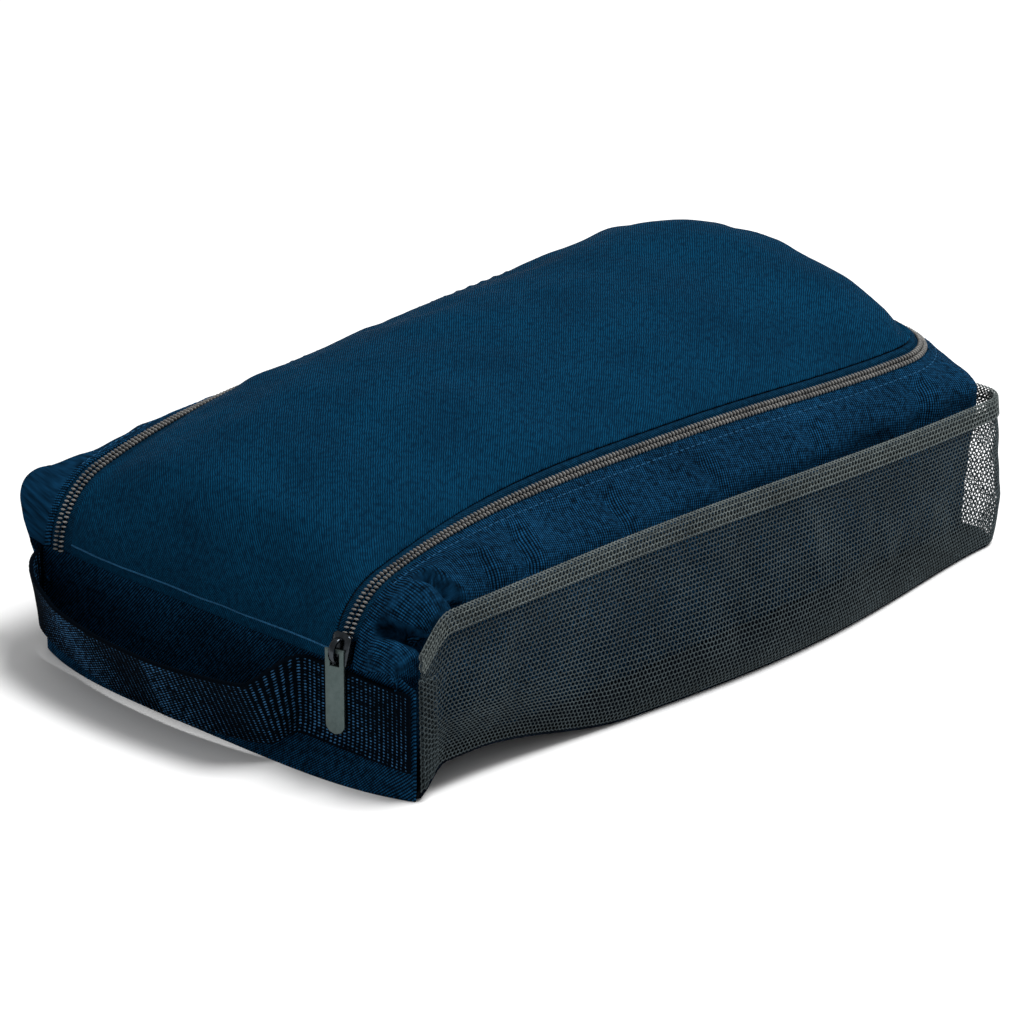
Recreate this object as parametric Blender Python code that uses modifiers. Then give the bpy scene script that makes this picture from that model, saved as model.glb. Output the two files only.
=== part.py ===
"""Soft golf shoe bag: zipped lid, webbing handle, open mesh pocket on each long side.

Written in millimetres and scaled to metres when a mesh is made. +X runs from the
handle end to the far end, -Y is the side of the first mesh pocket, +Z is up. The
underside of the base lies on z = 0 and is centred on the origin.
"""

import math

import bmesh
import bpy
import numpy as np
from mathutils import Vector

MM = 0.001

# Overall sizes
LENGTH = 368.0
WIDTH = 216.0
CROWN_Z = 119.0
FRONT_Z = 47.0
BASE_BOW = 14.0

# Cloth and fits
BASE_T = 3.0
PANEL_T = 2.4
WEB_T = 2.0
MESH_T = 1.2
HEM_T = 2.0
SEAM_GAP = 0.4

# Zip line: a dip at each front corner, a side run, a rounded far end
DIP_R = 33.0
DIP_SWEEP = math.radians(75.0)
ZIP_MID_Z = 92.5
ZIP_FAR_Z = 88.0
ZIP_INSET_FRONT = 24.0
ZIP_INSET_FAR = 20.0
ZIP_LEAN_FRONT = 14.0
ZIP_LEAN_FAR = 6.0
ZIP_TILT = math.radians(35.0)
ZIP_FAR_TILT = 12.0
ZIP_FAR_RISE = 8.0
ZIP_FAR_INSET = 7.0
FAR_CORNER_R = 30.0
TAPE_T = 1.0
TAPE_BODY_W = 8.0
TAPE_LID_W = 6.3
TAPE_GAP = 0.3
COIL_W = 2.2
COIL_H = 2.2
COIL_SPLIT = 1.4
ZIP_START_L = 1.44
ZIP_END_SWEEP = math.radians(25.0)
LID_ZIP_SWEEP = math.radians(30.0)

# Lid crown
LID_POWER = 2.5
LID_HINGE_CROWN = 1.5
LID_COLUMNS = 16
LID_FALL_L = 85.0

# Shoulders, walls and pockets
SHOULDER_INSET = 4.0
SHOULDER_LEAN = 4.0
SHOULDER_Z = 70.0
SHOULDER_START = 1.4
WALL_BASE_INSET = 16.0
WALL_CORNER_R = 8.0
WALL_START_L = 1.15
FAR_WALL_INSET = 1.7
U_SEAM = 2.25
SEAM_U = 0.008
HEM_OUT = 4.8
HEM_Z = 76.0
HEM_FALL = 7.0
HEM_LEVEL_L = 100.0
HEM_LOW_L = 30.0
HEM_FRONT_DIP = 18.0
HEM_FRONT_DIP_L = 30.0
HEM_W = 9.0
EDGE_W = 8.4
POCKET_BULGE = 6.0
POCKET_CORNER_R = 12.0
POCKET_END_BULGE = 6.0
POCKET_END_INSET = 22.0
SEAM_TRIM_H = 4.0
SEAM_TRIM_T = 1.8
FRONT_FOOT = 12.0
FRONT_FOOT_Z = 20.0

# Handle webbing
WEB_W = 34.0
WEB_SIDE_INSET = 1.0
WEB_Z = 29.5
LOOP_OUT = 26.0
LOOP_DROOP = math.radians(22.0)
LOOP_INSET_RIGHT = 55.0
LOOP_INSET_LEFT = 2.5
LOOP_RAMP = 24.0
LOOP_CUT = 13.0

# Slider and pull tab
SLIDER_L = 13.0
SLIDER_W = 10.0
SLIDER_PLATE = 1.4
SLIDER_FIT = 0.4
SLIDER_POST = 0.6
SLIDER_START_L = 0.7
POST_SETBACK = 1.0
POST_L = 3.3
BRIDGE_W = 3.0
BRIDGE_T = 1.3
BRIDGE_HALF_L = 4.6
BRIDGE_FIT = 0.6
PIN_R = 0.8
PIN_LIFT = 1.4
PULL_L = 36.0
PULL_W = 8.0
PULL_T = 1.4
PULL_EDGE_R = 0.3
WINDOW_FIT = 1.0
WINDOW_L = 8.0
OVERLAP = 0.5

FRONT_X = -LENGTH / 2
FAR_X = LENGTH / 2
HALF_WIDTH = WIDTH / 2
DIP_X = FRONT_X + DIP_R
RUN_X = DIP_X - DIP_R * math.cos(DIP_SWEEP)
RUN_Z = FRONT_Z + DIP_R * math.sin(DIP_SWEEP)
ZIP_FAR_X = FAR_X - ZIP_FAR_INSET
CORNER_X = ZIP_FAR_X - FAR_CORNER_R
WALL_FAR_X = FAR_X - FAR_WALL_INSET
LID_FULL_X = FAR_X - LID_FALL_L
HEM_HALF = HALF_WIDTH + HEM_OUT
LOOP_RIGHT = -HALF_WIDTH + LOOP_INSET_RIGHT
LOOP_LEFT = HALF_WIDTH - LOOP_INSET_LEFT
RIGHT = -1
LEFT = 1


def smooth(low, high, value):
    t = min(max((value - low) / (high - low), 0.0), 1.0)
    return t * t * (3 - 2 * t)


def mix(a, b, t):
    return a + (b - a) * t


def bezier(points, t):
    a, b, c, d = points
    s = 1 - t
    return a * s ** 3 + b * (3 * s * s * t) + c * (3 * s * t * t) + d * t ** 3


def material(name, colour, roughness, metallic=0.0):
    made = bpy.data.materials.new(name)
    made.use_nodes = True
    shader = made.node_tree.nodes["Principled BSDF"]
    shader.inputs["Base Color"].default_value = (*colour, 1.0)
    shader.inputs["Roughness"].default_value = roughness
    shader.inputs["Metallic"].default_value = metallic
    made.diffuse_color = (*colour, 1.0)
    return made


def clear_scene():
    for old in list(bpy.data.objects):
        bpy.data.objects.remove(old, do_unlink=True)


clear_scene()
bag = bpy.data.collections.new("golf_shoe_bag")
bpy.context.scene.collection.children.link(bag)
helpers = bpy.data.collections.new("cutters")
helpers.hide_render = True
bpy.context.scene.collection.children.link(helpers)

TWILL = (0.004, 0.045, 0.105)
twill_lid = material("lid_twill", TWILL, 0.85)
twill_body = material("body_twill", (0.005, 0.055, 0.14), 0.85)
twill_base = material("base_cloth", (0.006, 0.02, 0.05), 0.9)
webbing = material("webbing", (0.005, 0.03, 0.08), 0.8)
tape = material("zip_tape", (0.004, 0.02, 0.05), 0.85)
coil = material("zip_coil", (0.16, 0.15, 0.13), 0.45)
netting = material("pocket_mesh", (0.09, 0.1, 0.105), 0.75)
netting_hem = material("pocket_hem", (0.07, 0.08, 0.085), 0.8)
trim = material("seam_trim", (0.01, 0.012, 0.016), 0.85)
gunmetal = material("slider_metal", (0.08, 0.085, 0.09), 0.35, 1.0)
pull_metal = material("pull_tab_metal", (0.12, 0.15, 0.15), 0.5, 1.0)


def finish(bm, name, look, origin=(0, 0, 0), rounded=True):
    """One object from a bmesh in millimetres, with its origin at the given point."""
    bmesh.ops.recalc_face_normals(bm, faces=bm.faces)
    start = Vector(origin)
    for vert in bm.verts:
        vert.co = (vert.co - start) * MM
    mesh = bpy.data.meshes.new(name)
    bm.to_mesh(mesh)
    bm.free()
    mesh.materials.append(look)
    for face in mesh.polygons:
        face.use_smooth = rounded
    made = bpy.data.objects.new(name, mesh)
    made.location = start * MM
    bag.objects.link(made)
    return made


def loft(rings, capped=True):
    """A bmesh through closed rings of equal count, with a face over each end ring."""
    bm = bmesh.new()
    made = [[bm.verts.new(point) for point in ring] for ring in rings]
    count = len(rings[0])
    for near, far in zip(made, made[1:]):
        for k in range(count):
            after = (k + 1) % count
            bm.faces.new((near[k], near[after], far[after], far[k]))
    if capped:
        bm.faces.new(made[0])
        bm.faces.new(made[-1])
    return bm


def surface_normals(grid):
    """Unit normals of a grid of points from its neighbours' differences."""
    along = np.gradient(grid, axis=0)
    across = np.gradient(grid, axis=1)
    normal = np.cross(along, across)
    return normal / np.linalg.norm(normal, axis=2, keepdims=True)


def shell(name, grid, thickness, outward, look, origin=(0, 0, 0)):
    """A panel whose outer face follows a grid of points; outward is the side it faces."""
    outer = np.array(grid, float)
    normal = surface_normals(outer)
    if (normal.mean(axis=(0, 1)) * np.array(outward)).sum() < 0:
        normal = -normal
    return slab(name, outer, outer - normal * thickness, look, origin)


def slab(name, outer, inner, look, origin=(0, 0, 0)):
    """A panel between two grids of points of equal size."""
    rings = [list(a) + list(b[::-1]) for a, b in zip(outer, inner)]
    bm = bmesh.new()
    made = [[bm.verts.new(point) for point in ring] for ring in rings]
    count = len(rings[0])
    half = count // 2
    for near, far in zip(made, made[1:]):
        for k in range(count):
            after = (k + 1) % count
            bm.faces.new((near[k], near[after], far[after], far[k]))
    for end in (made[0], made[-1]):
        for k in range(half - 1):
            bm.faces.new((end[k], end[k + 1], end[count - 2 - k], end[count - 1 - k]))
    return finish(bm, name, look, origin)


# Zip line. u counts along one half: 0 to 1 the dip, to 2 the side run, to 3 the far
# corner, to 4 the middle of the far end.


def run_height(x):
    middle = mix(RUN_X, CORNER_X, 0.55)
    if x < middle:
        t = (x - RUN_X) / (middle - RUN_X)
        rise = (middle - RUN_X) * math.tan(math.pi / 2 - DIP_SWEEP)
        return (RUN_Z * (2 * t ** 3 - 3 * t * t + 1) + rise * (t ** 3 - 2 * t * t + t)
                + ZIP_MID_Z * (3 * t * t - 2 * t ** 3))
    return mix(ZIP_MID_Z, ZIP_FAR_Z, smooth(middle, CORNER_X, x))


def run_side(side, x):
    t = smooth(RUN_X, CORNER_X, x)
    half = HALF_WIDTH - mix(ZIP_INSET_FRONT, ZIP_INSET_FAR, t)
    return mix(ZIP_LEAN_FRONT, ZIP_LEAN_FAR, t) + side * half


def corner_height(side):
    return ZIP_FAR_Z + (ZIP_FAR_TILT if side == LEFT else 0.0)


def zip_point(side, u):
    if u < 1:
        phi = u * DIP_SWEEP
        return Vector((DIP_X - DIP_R * math.cos(phi), run_side(side, RUN_X),
                       FRONT_Z + DIP_R * math.sin(phi)))
    if u < 2:
        x = mix(RUN_X, CORNER_X, u - 1)
        tilt = (corner_height(side) - ZIP_FAR_Z) * smooth(1.3, 2.0, u)
        return Vector((x, run_side(side, x), run_height(x) + tilt))
    y = run_side(side, CORNER_X)
    if u < 3:
        turn = (u - 2) * math.pi / 2
        return Vector((CORNER_X + FAR_CORNER_R * math.sin(turn),
                       y - side * FAR_CORNER_R * (1 - math.cos(turn)), corner_height(side)))
    top = ZIP_FAR_Z + ZIP_FAR_TILT / 2 + ZIP_FAR_RISE
    z = mix(corner_height(side), top, smooth(3.0, 4.0, u))
    return Vector((ZIP_FAR_X, mix(y - side * FAR_CORNER_R, ZIP_LEAN_FAR, u - 3), z))


def level_normal(u):
    """The normal of the zip line in the X-Z plane, before it tilts outwards."""
    if u < 1:
        phi = u * DIP_SWEEP
        return Vector((-math.cos(phi), 0, math.sin(phi)))
    if u < 2:
        x = mix(RUN_X, CORNER_X, u - 1)
        slope = run_height(x + 0.5) - run_height(x - 0.5)
        return Vector((-slope, 0, 1)).normalized()
    return Vector((0, 0, 1))


def zip_frame(side, u):
    """Point, outward direction along the cloth, and normal of the zip line."""
    step = 0.002
    ahead = zip_point(side, min(u + step, 4.0))
    tangent = ((ahead - zip_point(side, u - step)) * -side).normalized()
    if u < 2:
        out = Vector((0, side, 0))
        lean = ZIP_TILT * smooth(1.0, 1.35, u)
    else:
        turn = min(u - 2, 1.0) * math.pi / 2
        out = Vector((math.sin(turn), side * math.cos(turn), 0))
        lean = ZIP_TILT
    normal = level_normal(u) * math.cos(lean) + out * math.sin(lean)
    normal = (normal - tangent * normal.dot(tangent)).normalized()
    return zip_point(side, u), tangent.cross(normal), normal


def stations(first, last=4.0):
    """Even steps of u, closer together round the dip and the corner."""
    marks = [first]
    for low, high, count in ((0, 1, 9), (1, 2, 18), (2, 3, 9), (3, 4, 3)):
        marks += [mix(low, high, k / count) for k in range(count)]
    marks = [first] + [u for u in marks if first + 0.02 < u < last - 0.02]
    return marks + [last]


def round_zip(first):
    """Frames of the whole zip line from the right front end to the left front end."""
    marks = stations(first)
    right = [zip_frame(RIGHT, u) for u in marks]
    left = [zip_frame(LEFT, u) for u in marks]
    return right + left[-2::-1]


def strip(name, frames, profile, look, origin=(0, 0, 0)):
    """A solid of one profile along the zip line; profile is (outwards, up) points."""
    rings = [[p + d * w + n * h for w, h in profile] for p, d, n in frames]
    return finish(loft(rings), name, look, origin)


def box(w0, w1, h0, h1):
    return [(w0, h0), (w1, h0), (w1, h1), (w0, h1)]


def coil_profile(side):
    """A half-round cord beside the split line."""
    middle = COIL_IN + COIL_W / 2
    arc = [math.pi * k / 4 for k in range(5)]
    points = [(middle - COIL_W / 2 * math.cos(a), COIL_LOW + COIL_RISE * math.sin(a)) for a in arc]
    return [(side * w, h) for w, h in points]


U_START = ZIP_START_L / DIP_R / DIP_SWEEP
U_LID = LID_ZIP_SWEEP / DIP_SWEEP
U_END = ZIP_END_SWEEP / DIP_SWEEP
COIL_IN = COIL_SPLIT / 2
COIL_LOW = TAPE_GAP + 0.1
COIL_RISE = COIL_H * 0.9
HINGE = (FRONT_X, 0, FRONT_Z + SEAM_GAP)

strip("zip_tape_body", round_zip(U_START), box(COIL_IN, TAPE_BODY_W, -TAPE_T, 0), tape)
strip("zip_coil_body", round_zip(U_START), coil_profile(1), coil)
strip("zip_tape_lid", round_zip(U_LID), box(-TAPE_LID_W, -COIL_IN, -TAPE_T, 0), tape, HINGE)
strip("zip_coil_lid", round_zip(U_LID), coil_profile(-1), coil, HINGE)

END_SHOULDER = COIL_H * 0.8
END_PROFILE = [
    (-TAPE_LID_W, -TAPE_T),
    (-COIL_IN, -TAPE_T),
    (-COIL_IN, END_SHOULDER),
    (-COIL_IN - COIL_W / 2, COIL_H),
    (-COIL_IN - COIL_W, END_SHOULDER),
    (-COIL_IN - COIL_W, 0),
    (-TAPE_LID_W, 0),
]
for side, name in ((RIGHT, "zip_end_right"), (LEFT, "zip_end_left")):
    marks = [mix(U_START, U_END, k / 4) for k in range(5)]
    strip(name, [zip_frame(side, u) for u in marks], END_PROFILE, tape)


# Body walls. Each section leaves the zip tape, rounds the shoulder and drops to the base.


def corner_path(side, start_x, y_side, far_x, radius, end_y, part):
    """A point part of the way along a side line, a far corner and a far line."""
    first = far_x - radius - start_x
    arc = radius * math.pi / 2
    last = abs(y_side - side * radius - end_y)
    length = part * (first + arc + last)
    if length < first:
        return start_x + length, y_side
    if length < first + arc:
        turn = (length - first) / radius
        return far_x - radius + radius * math.sin(turn), y_side - side * radius * (1 - math.cos(turn))
    return far_x, y_side - side * (radius + length - first - arc)


def wall_foot(side, u, y_side, level):
    """The wall line at one height, for the station u of the zip line."""
    inside = FRONT_X + PANEL_T + 2 * SEAM_GAP
    point = zip_point(side, u)
    if u < 1:
        return Vector((mix(inside, RUN_X, u), y_side, level))
    if u < 2:
        return Vector((point.x, y_side, level))
    end_y = zip_point(side, 3.0).y
    if u < 3:
        x, y = corner_path(side, CORNER_X, y_side, WALL_FAR_X, WALL_CORNER_R, end_y, u - 2)
        return Vector((x, y, level))
    return Vector((WALL_FAR_X, point.y, level))


def wall_section(side, u):
    point, outward, _ = zip_frame(side, u)
    top = point + outward * (TAPE_BODY_W + SEAM_GAP)
    level = mix(FRONT_Z + SHOULDER_START, SHOULDER_Z, smooth(0.0, 1.0, u))
    shoulder = wall_foot(side, u, SHOULDER_LEAN + side * (HALF_WIDTH - SHOULDER_INSET), level)
    foot = wall_foot(side, u, side * (HALF_WIDTH - WALL_BASE_INSET), BASE_T + SEAM_GAP)
    reach = (shoulder - top).length
    upper = (top, top + outward * reach * 0.45, shoulder + Vector((0, 0, reach * 0.3)), shoulder)
    drop = (shoulder - foot).length
    lower = (shoulder, shoulder - Vector((0, 0, drop * 0.35)), foot + Vector((0, 0, drop * 0.35)), foot)
    return [bezier(upper, k / 6) for k in range(6)] + [bezier(lower, k / 5) for k in range(6)]


U_WALL = WALL_START_L / DIP_R / DIP_SWEEP
for side, name in ((RIGHT, "gusset_right"), (LEFT, "gusset_left")):
    marks = stations(U_WALL, U_SEAM - SEAM_U)
    shell(name, [wall_section(side, u) for u in marks], PANEL_T, (0, side, 0), twill_body)
marks = stations(U_SEAM + SEAM_U)
far_wall = [wall_section(RIGHT, u) for u in marks] + [wall_section(LEFT, u) for u in marks[-2::-1]]
shell("far_end_panel", far_wall, PANEL_T, (1, 0, 0), twill_body)


# Lid: rows across the bag from one zip edge to the other, crowned in the middle.

LID_INSET = TAPE_LID_W + 2 * SEAM_GAP


def lid_edge(side, u):
    point, outward, _ = zip_frame(side, u)
    return point - outward * LID_INSET


def lid_far_rise(t):
    """How far the far edge stands off the line between its two ends."""
    ends = mix(lid_edge(RIGHT, 3.0), lid_edge(LEFT, 3.0), (t + 1) / 2)
    return lid_edge(RIGHT if t < 0 else LEFT, 4.0 - abs(t)) - ends


def lid_row(u):
    right = lid_edge(RIGHT, u)
    left = lid_edge(LEFT, u)
    top = CROWN_Z - ZIP_MID_Z - LID_INSET * math.sin(ZIP_TILT)
    crown = mix(LID_HINGE_CROWN, top, smooth(0.0, 1.5, u))
    last_x = lid_edge(RIGHT, 3.0).x
    fall = min(max((right.x - LID_FULL_X) / (last_x - LID_FULL_X), 0.0), 1.0)
    crown *= 1 - fall ** LID_POWER
    row = []
    for k in range(LID_COLUMNS + 1):
        t = -math.cos(math.pi * k / LID_COLUMNS)
        lift = crown * (1 - abs(t) ** LID_POWER)
        rise = lid_far_rise(t) * smooth(1.4, 3.0, u)
        row.append(mix(right, left, (t + 1) / 2) + level_normal(u) * lift + rise)
    return row


shell("lid_panel", [lid_row(u) for u in stations(U_WALL, 3.0)], PANEL_T, (0, 0, 1), twill_lid, HINGE)


# Base: a flat panel whose long sides bow out under the filled pockets.


def base_bow(x):
    part = min(max((x - FRONT_X) / (LENGTH - POCKET_CORNER_R), 0.0), 1.0)
    return BASE_BOW * math.sin(math.pi * part ** 1.3) ** 1.5


def base_edge(side, x):
    return side * (HALF_WIDTH + base_bow(x))


def flat_panel(name, outline, thickness, look, lift=0.0):
    """A filled outline standing on z = lift."""
    curve = bpy.data.curves.new(name, "CURVE")
    curve.dimensions = "2D"
    curve.fill_mode = "BOTH"
    curve.extrude = thickness * MM / 2
    spline = curve.splines.new("POLY")
    spline.points.add(len(outline) - 1)
    for point, (x, y) in zip(spline.points, outline):
        point.co = (x * MM, y * MM, 0, 1)
    spline.use_cyclic_u = True
    drawn = bpy.data.objects.new(name + "_outline", curve)
    helpers.objects.link(drawn)
    bpy.context.view_layer.update()
    mesh = bpy.data.meshes.new_from_object(drawn.evaluated_get(bpy.context.evaluated_depsgraph_get()))
    bpy.data.objects.remove(drawn, do_unlink=True)
    bm = bmesh.new()
    bm.from_mesh(mesh)
    bpy.data.meshes.remove(mesh)
    bmesh.ops.remove_doubles(bm, verts=bm.verts, dist=1e-6)
    bmesh.ops.scale(bm, vec=(1 / MM, 1 / MM, 1 / MM), verts=bm.verts)
    bmesh.ops.translate(bm, vec=(0, 0, lift + thickness / 2), verts=bm.verts)
    return finish(bm, name, look, rounded=False)


def front_x(y, z):
    across = 1 - abs(y / HALF_WIDTH) ** 4
    foot = max(0.0, (FRONT_FOOT_Z - z) / FRONT_FOOT_Z) ** 2
    return FRONT_X - FRONT_FOOT * across * foot


BASE_STEPS = 24
base_xs = [mix(FRONT_X, FAR_X - POCKET_CORNER_R, k / BASE_STEPS) for k in range(BASE_STEPS + 1)]
CORNER_TURNS = [math.pi / 2 * k / 5 for k in range(1, 6)]
right_edge = [(x, base_edge(RIGHT, x)) for x in base_xs]
CORNER_Y = -HALF_WIDTH + POCKET_CORNER_R
for turn in CORNER_TURNS:
    corner_x = FAR_X - POCKET_CORNER_R * (1 - math.sin(turn))
    right_edge.append((corner_x, CORNER_Y - POCKET_CORNER_R * math.cos(turn)))
FRONT_YS = [mix(-HALF_WIDTH, HALF_WIDTH, k / 16) for k in range(17)]
front_edge = [(front_x(y, BASE_T), y) for y in FRONT_YS[-2:0:-1]]
outline = right_edge + [(x, -y) for x, y in right_edge[::-1]] + front_edge
flat_panel("base_panel", outline, BASE_T, twill_base)


# Front panel: upright, its foot pushed forward between the corners.

FRONT_ZS = [mix(BASE_T + SEAM_GAP, FRONT_Z, t) for t in (0, 0.1, 0.2, 0.3, 0.4, 0.7, 1.0)]
front_grid = [[(front_x(y, z), y, z) for z in FRONT_ZS] for y in FRONT_YS]
front_back = [[(x + PANEL_T, y, z) for x, y, z in row] for row in front_grid]
slab("front_panel", front_grid, front_back, twill_body)


# Handle: webbing sewn flat at the right, looped across the front, caught at the left corner.

WEB_YL = HALF_WIDTH - WEB_SIDE_INSET
WEB_YR = -WEB_YL
AXIS_X = FRONT_X - SEAM_GAP - WEB_T / 2
HANDLE_AXIS = (AXIS_X, 0, WEB_Z)


def loop_out(y):
    rise = smooth(LOOP_RIGHT, LOOP_RIGHT + LOOP_RAMP, y)
    return LOOP_OUT * rise * smooth(LOOP_LEFT, LOOP_LEFT - LOOP_RAMP, y)


def web_point(y, h, back=0.0):
    """A point of the webbing's outer face, or one that far behind it; h runs up its width."""
    slope = loop_out(y + 0.5) - loop_out(y - 0.5)
    out = loop_out(y) - back * math.hypot(1.0, slope)
    droop = LOOP_DROOP * loop_out(y) / LOOP_OUT
    x = FRONT_X - SEAM_GAP - WEB_T - out * math.cos(droop) - h * math.sin(droop)
    flat = front_x(y, WEB_Z + h) - FRONT_X
    z = WEB_Z + h * math.cos(droop) - out * math.sin(droop)
    return x + flat * (1 - loop_out(y) / LOOP_OUT), y, z


def web_strip(name, y0, y1, steps, origin=(0, 0, 0)):
    ys = [mix(y0, y1, k / steps) for k in range(steps + 1)]
    hs = [mix(-WEB_W / 2, WEB_W / 2, k / 4) for k in range(5)]
    outer = [[web_point(y, h) for h in hs] for y in ys]
    inner = [[web_point(y, h, WEB_T) for h in hs] for y in ys]
    return slab(name, outer, inner, webbing, origin)


CUT_RIGHT = LOOP_RIGHT + LOOP_CUT
CUT_LEFT = LOOP_LEFT - LOOP_CUT
web_strip("handle_patch_right", WEB_YR, CUT_RIGHT - SEAM_GAP, 14)
web_strip("handle_root_left", CUT_LEFT + SEAM_GAP, WEB_YL, 8)
web_strip("handle_loop", CUT_RIGHT, CUT_LEFT, 26, HANDLE_AXIS)


# Mesh pockets: from the base seam up to an open hem, round the far corner to the end panel.


def hem_level(x):
    """The open edge falls towards the far end and dips to the front corner."""
    fall = HEM_FALL * smooth(FRONT_X + HEM_LEVEL_L, FAR_X - HEM_LOW_L, x)
    return HEM_Z - fall - HEM_FRONT_DIP * smooth(FRONT_X + HEM_FRONT_DIP_L, FRONT_X - HEM_T, x)


POCKET_FRONT = FRONT_X + PANEL_T + SEAM_GAP
POCKET_FAR = FAR_X + MESH_T / 2
POCKET_LOW = SEAM_TRIM_H + 2 * SEAM_GAP


def foot_line(side, x):
    return base_edge(side, x) + side * (SEAM_GAP + MESH_T)


def head_line(side, x):
    return SHOULDER_LEAN + side * HEM_HALF


def pocket_plan(side, k, line):
    """Plan point k along the pocket: 0 to 1 the side, to 2 the corner, to 3 the far end."""
    turn_x = POCKET_FAR - POCKET_CORNER_R
    if k <= 1:
        x = mix(POCKET_FRONT, turn_x, k)
        return x, line(side, x)
    y = line(side, turn_x)
    if k <= 2:
        turn = (k - 1) * math.pi / 2
        return (turn_x + POCKET_CORNER_R * math.sin(turn),
                y - side * POCKET_CORNER_R * (1 - math.cos(turn)))
    return POCKET_FAR, mix(y - side * POCKET_CORNER_R, side * (HALF_WIDTH - POCKET_END_INSET), k - 2)


def pocket_column(side, k, hem, count):
    """Points up the pocket at k: over its folded hem, or from the base seam to the hem."""
    foot = pocket_plan(side, k, foot_line)
    head = pocket_plan(side, k, head_line)
    top = hem_level(foot[0])
    low = top - HEM_W if hem else POCKET_LOW
    high = top if hem else top - HEM_W - SEAM_GAP
    end = POCKET_END_BULGE * smooth(0.75, 1.0, k) * smooth(2.7, 2.0, k)
    bulge = POCKET_BULGE * math.sin(math.pi * min(k, 1.0)) + end
    turn = min(max(k - 1, 0.0), 1.0) * math.pi / 2
    push = Vector((math.sin(turn), side * math.cos(turn), 0))
    column = []
    for j in range(count + 1):
        z = mix(low, high, j / count)
        t = (z - POCKET_LOW) / (top - POCKET_LOW)
        out = bulge * math.sin(math.pi * t ** 0.7)
        x = mix(foot[0], head[0], smooth(0, 1, t))
        y = mix(foot[1], head[1], smooth(0, 1, t))
        column.append(Vector((x, y, z)) + push * out)
    return column


def pocket_ks(first, side_steps):
    ks = [mix(first, 1, j / side_steps) for j in range(side_steps)]
    return ks + [1 + j / 5 for j in range(5)] + [2, 2.5, 3]


POCKET_RUN = POCKET_FAR - POCKET_CORNER_R - POCKET_FRONT
EDGE_K = EDGE_W / POCKET_RUN
NET_KS = pocket_ks(EDGE_K + SEAM_GAP / POCKET_RUN, 22)
HEM_KS = [0.0, EDGE_K / 2] + NET_KS
for side, word in ((RIGHT, "right"), (LEFT, "left")):
    panel = [pocket_column(side, k, False, 10) for k in NET_KS]
    shell("mesh_pocket_" + word, panel, MESH_T, (0, side, 0), netting)
    edge = [pocket_column(side, mix(0, EDGE_K, j / 2), False, 6) for j in range(3)]
    shell("pocket_edge_" + word, edge, MESH_T, (0, side, 0), netting_hem)
    hem = [pocket_column(side, k, True, 2) for k in HEM_KS]
    shell("pocket_hem_" + word, hem, HEM_T, (0, side, 0), netting_hem)
    seam = []
    for x in base_xs[1:]:
        y = base_edge(side, x) + side * SEAM_GAP
        seam.append([(x, y, SEAM_GAP), (x, y + side * SEAM_TRIM_T, SEAM_GAP),
                     (x, y + side * SEAM_TRIM_T, SEAM_TRIM_H), (x, y, SEAM_TRIM_H)])
    finish(loft([[Vector(p) for p in ring] for ring in seam]), "base_seam_" + word, trim)


# Slider: two channelled plates on a post between the coils, and a bridge over the pull tab.

SLIDER_SPAN = SLIDER_L / DIP_R
SLIDER_PHI = SLIDER_START_L / DIP_R + SLIDER_SPAN / 2
SLIDER_Y = run_side(RIGHT, RUN_X)
SLIDER_AXIS = Vector((DIP_X, SLIDER_Y, FRONT_Z))
ROOF = COIL_LOW + COIL_RISE + SLIDER_FIT
FLOOR = -TAPE_T - SLIDER_FIT
LIP = COIL_IN + COIL_W + SLIDER_FIT
HALF_W = SLIDER_W / 2


def on_zip(phi, w, h):
    """A point of the dip at angle phi, w towards the body side and h above the tape."""
    r = DIP_R + h
    return Vector((DIP_X - r * math.cos(phi), SLIDER_Y - w, FRONT_Z + r * math.sin(phi)))


def along_dip(profile, low, high, steps=6):
    rings = []
    for k in range(steps + 1):
        phi = mix(low, high, k / steps)
        rings.append([on_zip(phi, w, h) for w, h in profile])
    return loft(rings)


def channel(face, back, lip_end):
    """A plate with its two sides turned towards the tape."""
    return [(-HALF_W, lip_end), (-LIP, lip_end), (-LIP, face), (LIP, face), (LIP, lip_end),
            (HALF_W, lip_end), (HALF_W, back), (-HALF_W, back)]


def joined(name, pieces, look, origin):
    """One closed body from overlapping bmeshes."""
    solids = []
    for k, piece in enumerate(pieces):
        solid = finish(piece, f"{name}_{k}", look, origin)
        bag.objects.unlink(solid)
        helpers.objects.link(solid)
        solid.hide_render = True
        solid.display_type = "WIRE"
        solids.append(solid)
    first = solids[0]
    for other in solids[1:]:
        union = first.modifiers.new("union", "BOOLEAN")
        union.operation = "UNION"
        union.solver = "EXACT"
        union.object = other
    bpy.context.view_layer.update()
    mesh = bpy.data.meshes.new_from_object(first.evaluated_get(bpy.context.evaluated_depsgraph_get()))
    for solid in solids:
        bpy.data.objects.remove(solid, do_unlink=True)
    mesh.name = name
    made = bpy.data.objects.new(name, mesh)
    made.location = Vector(origin) * MM
    bag.objects.link(made)
    for face in mesh.polygons:
        face.use_smooth = False
    return made


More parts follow.
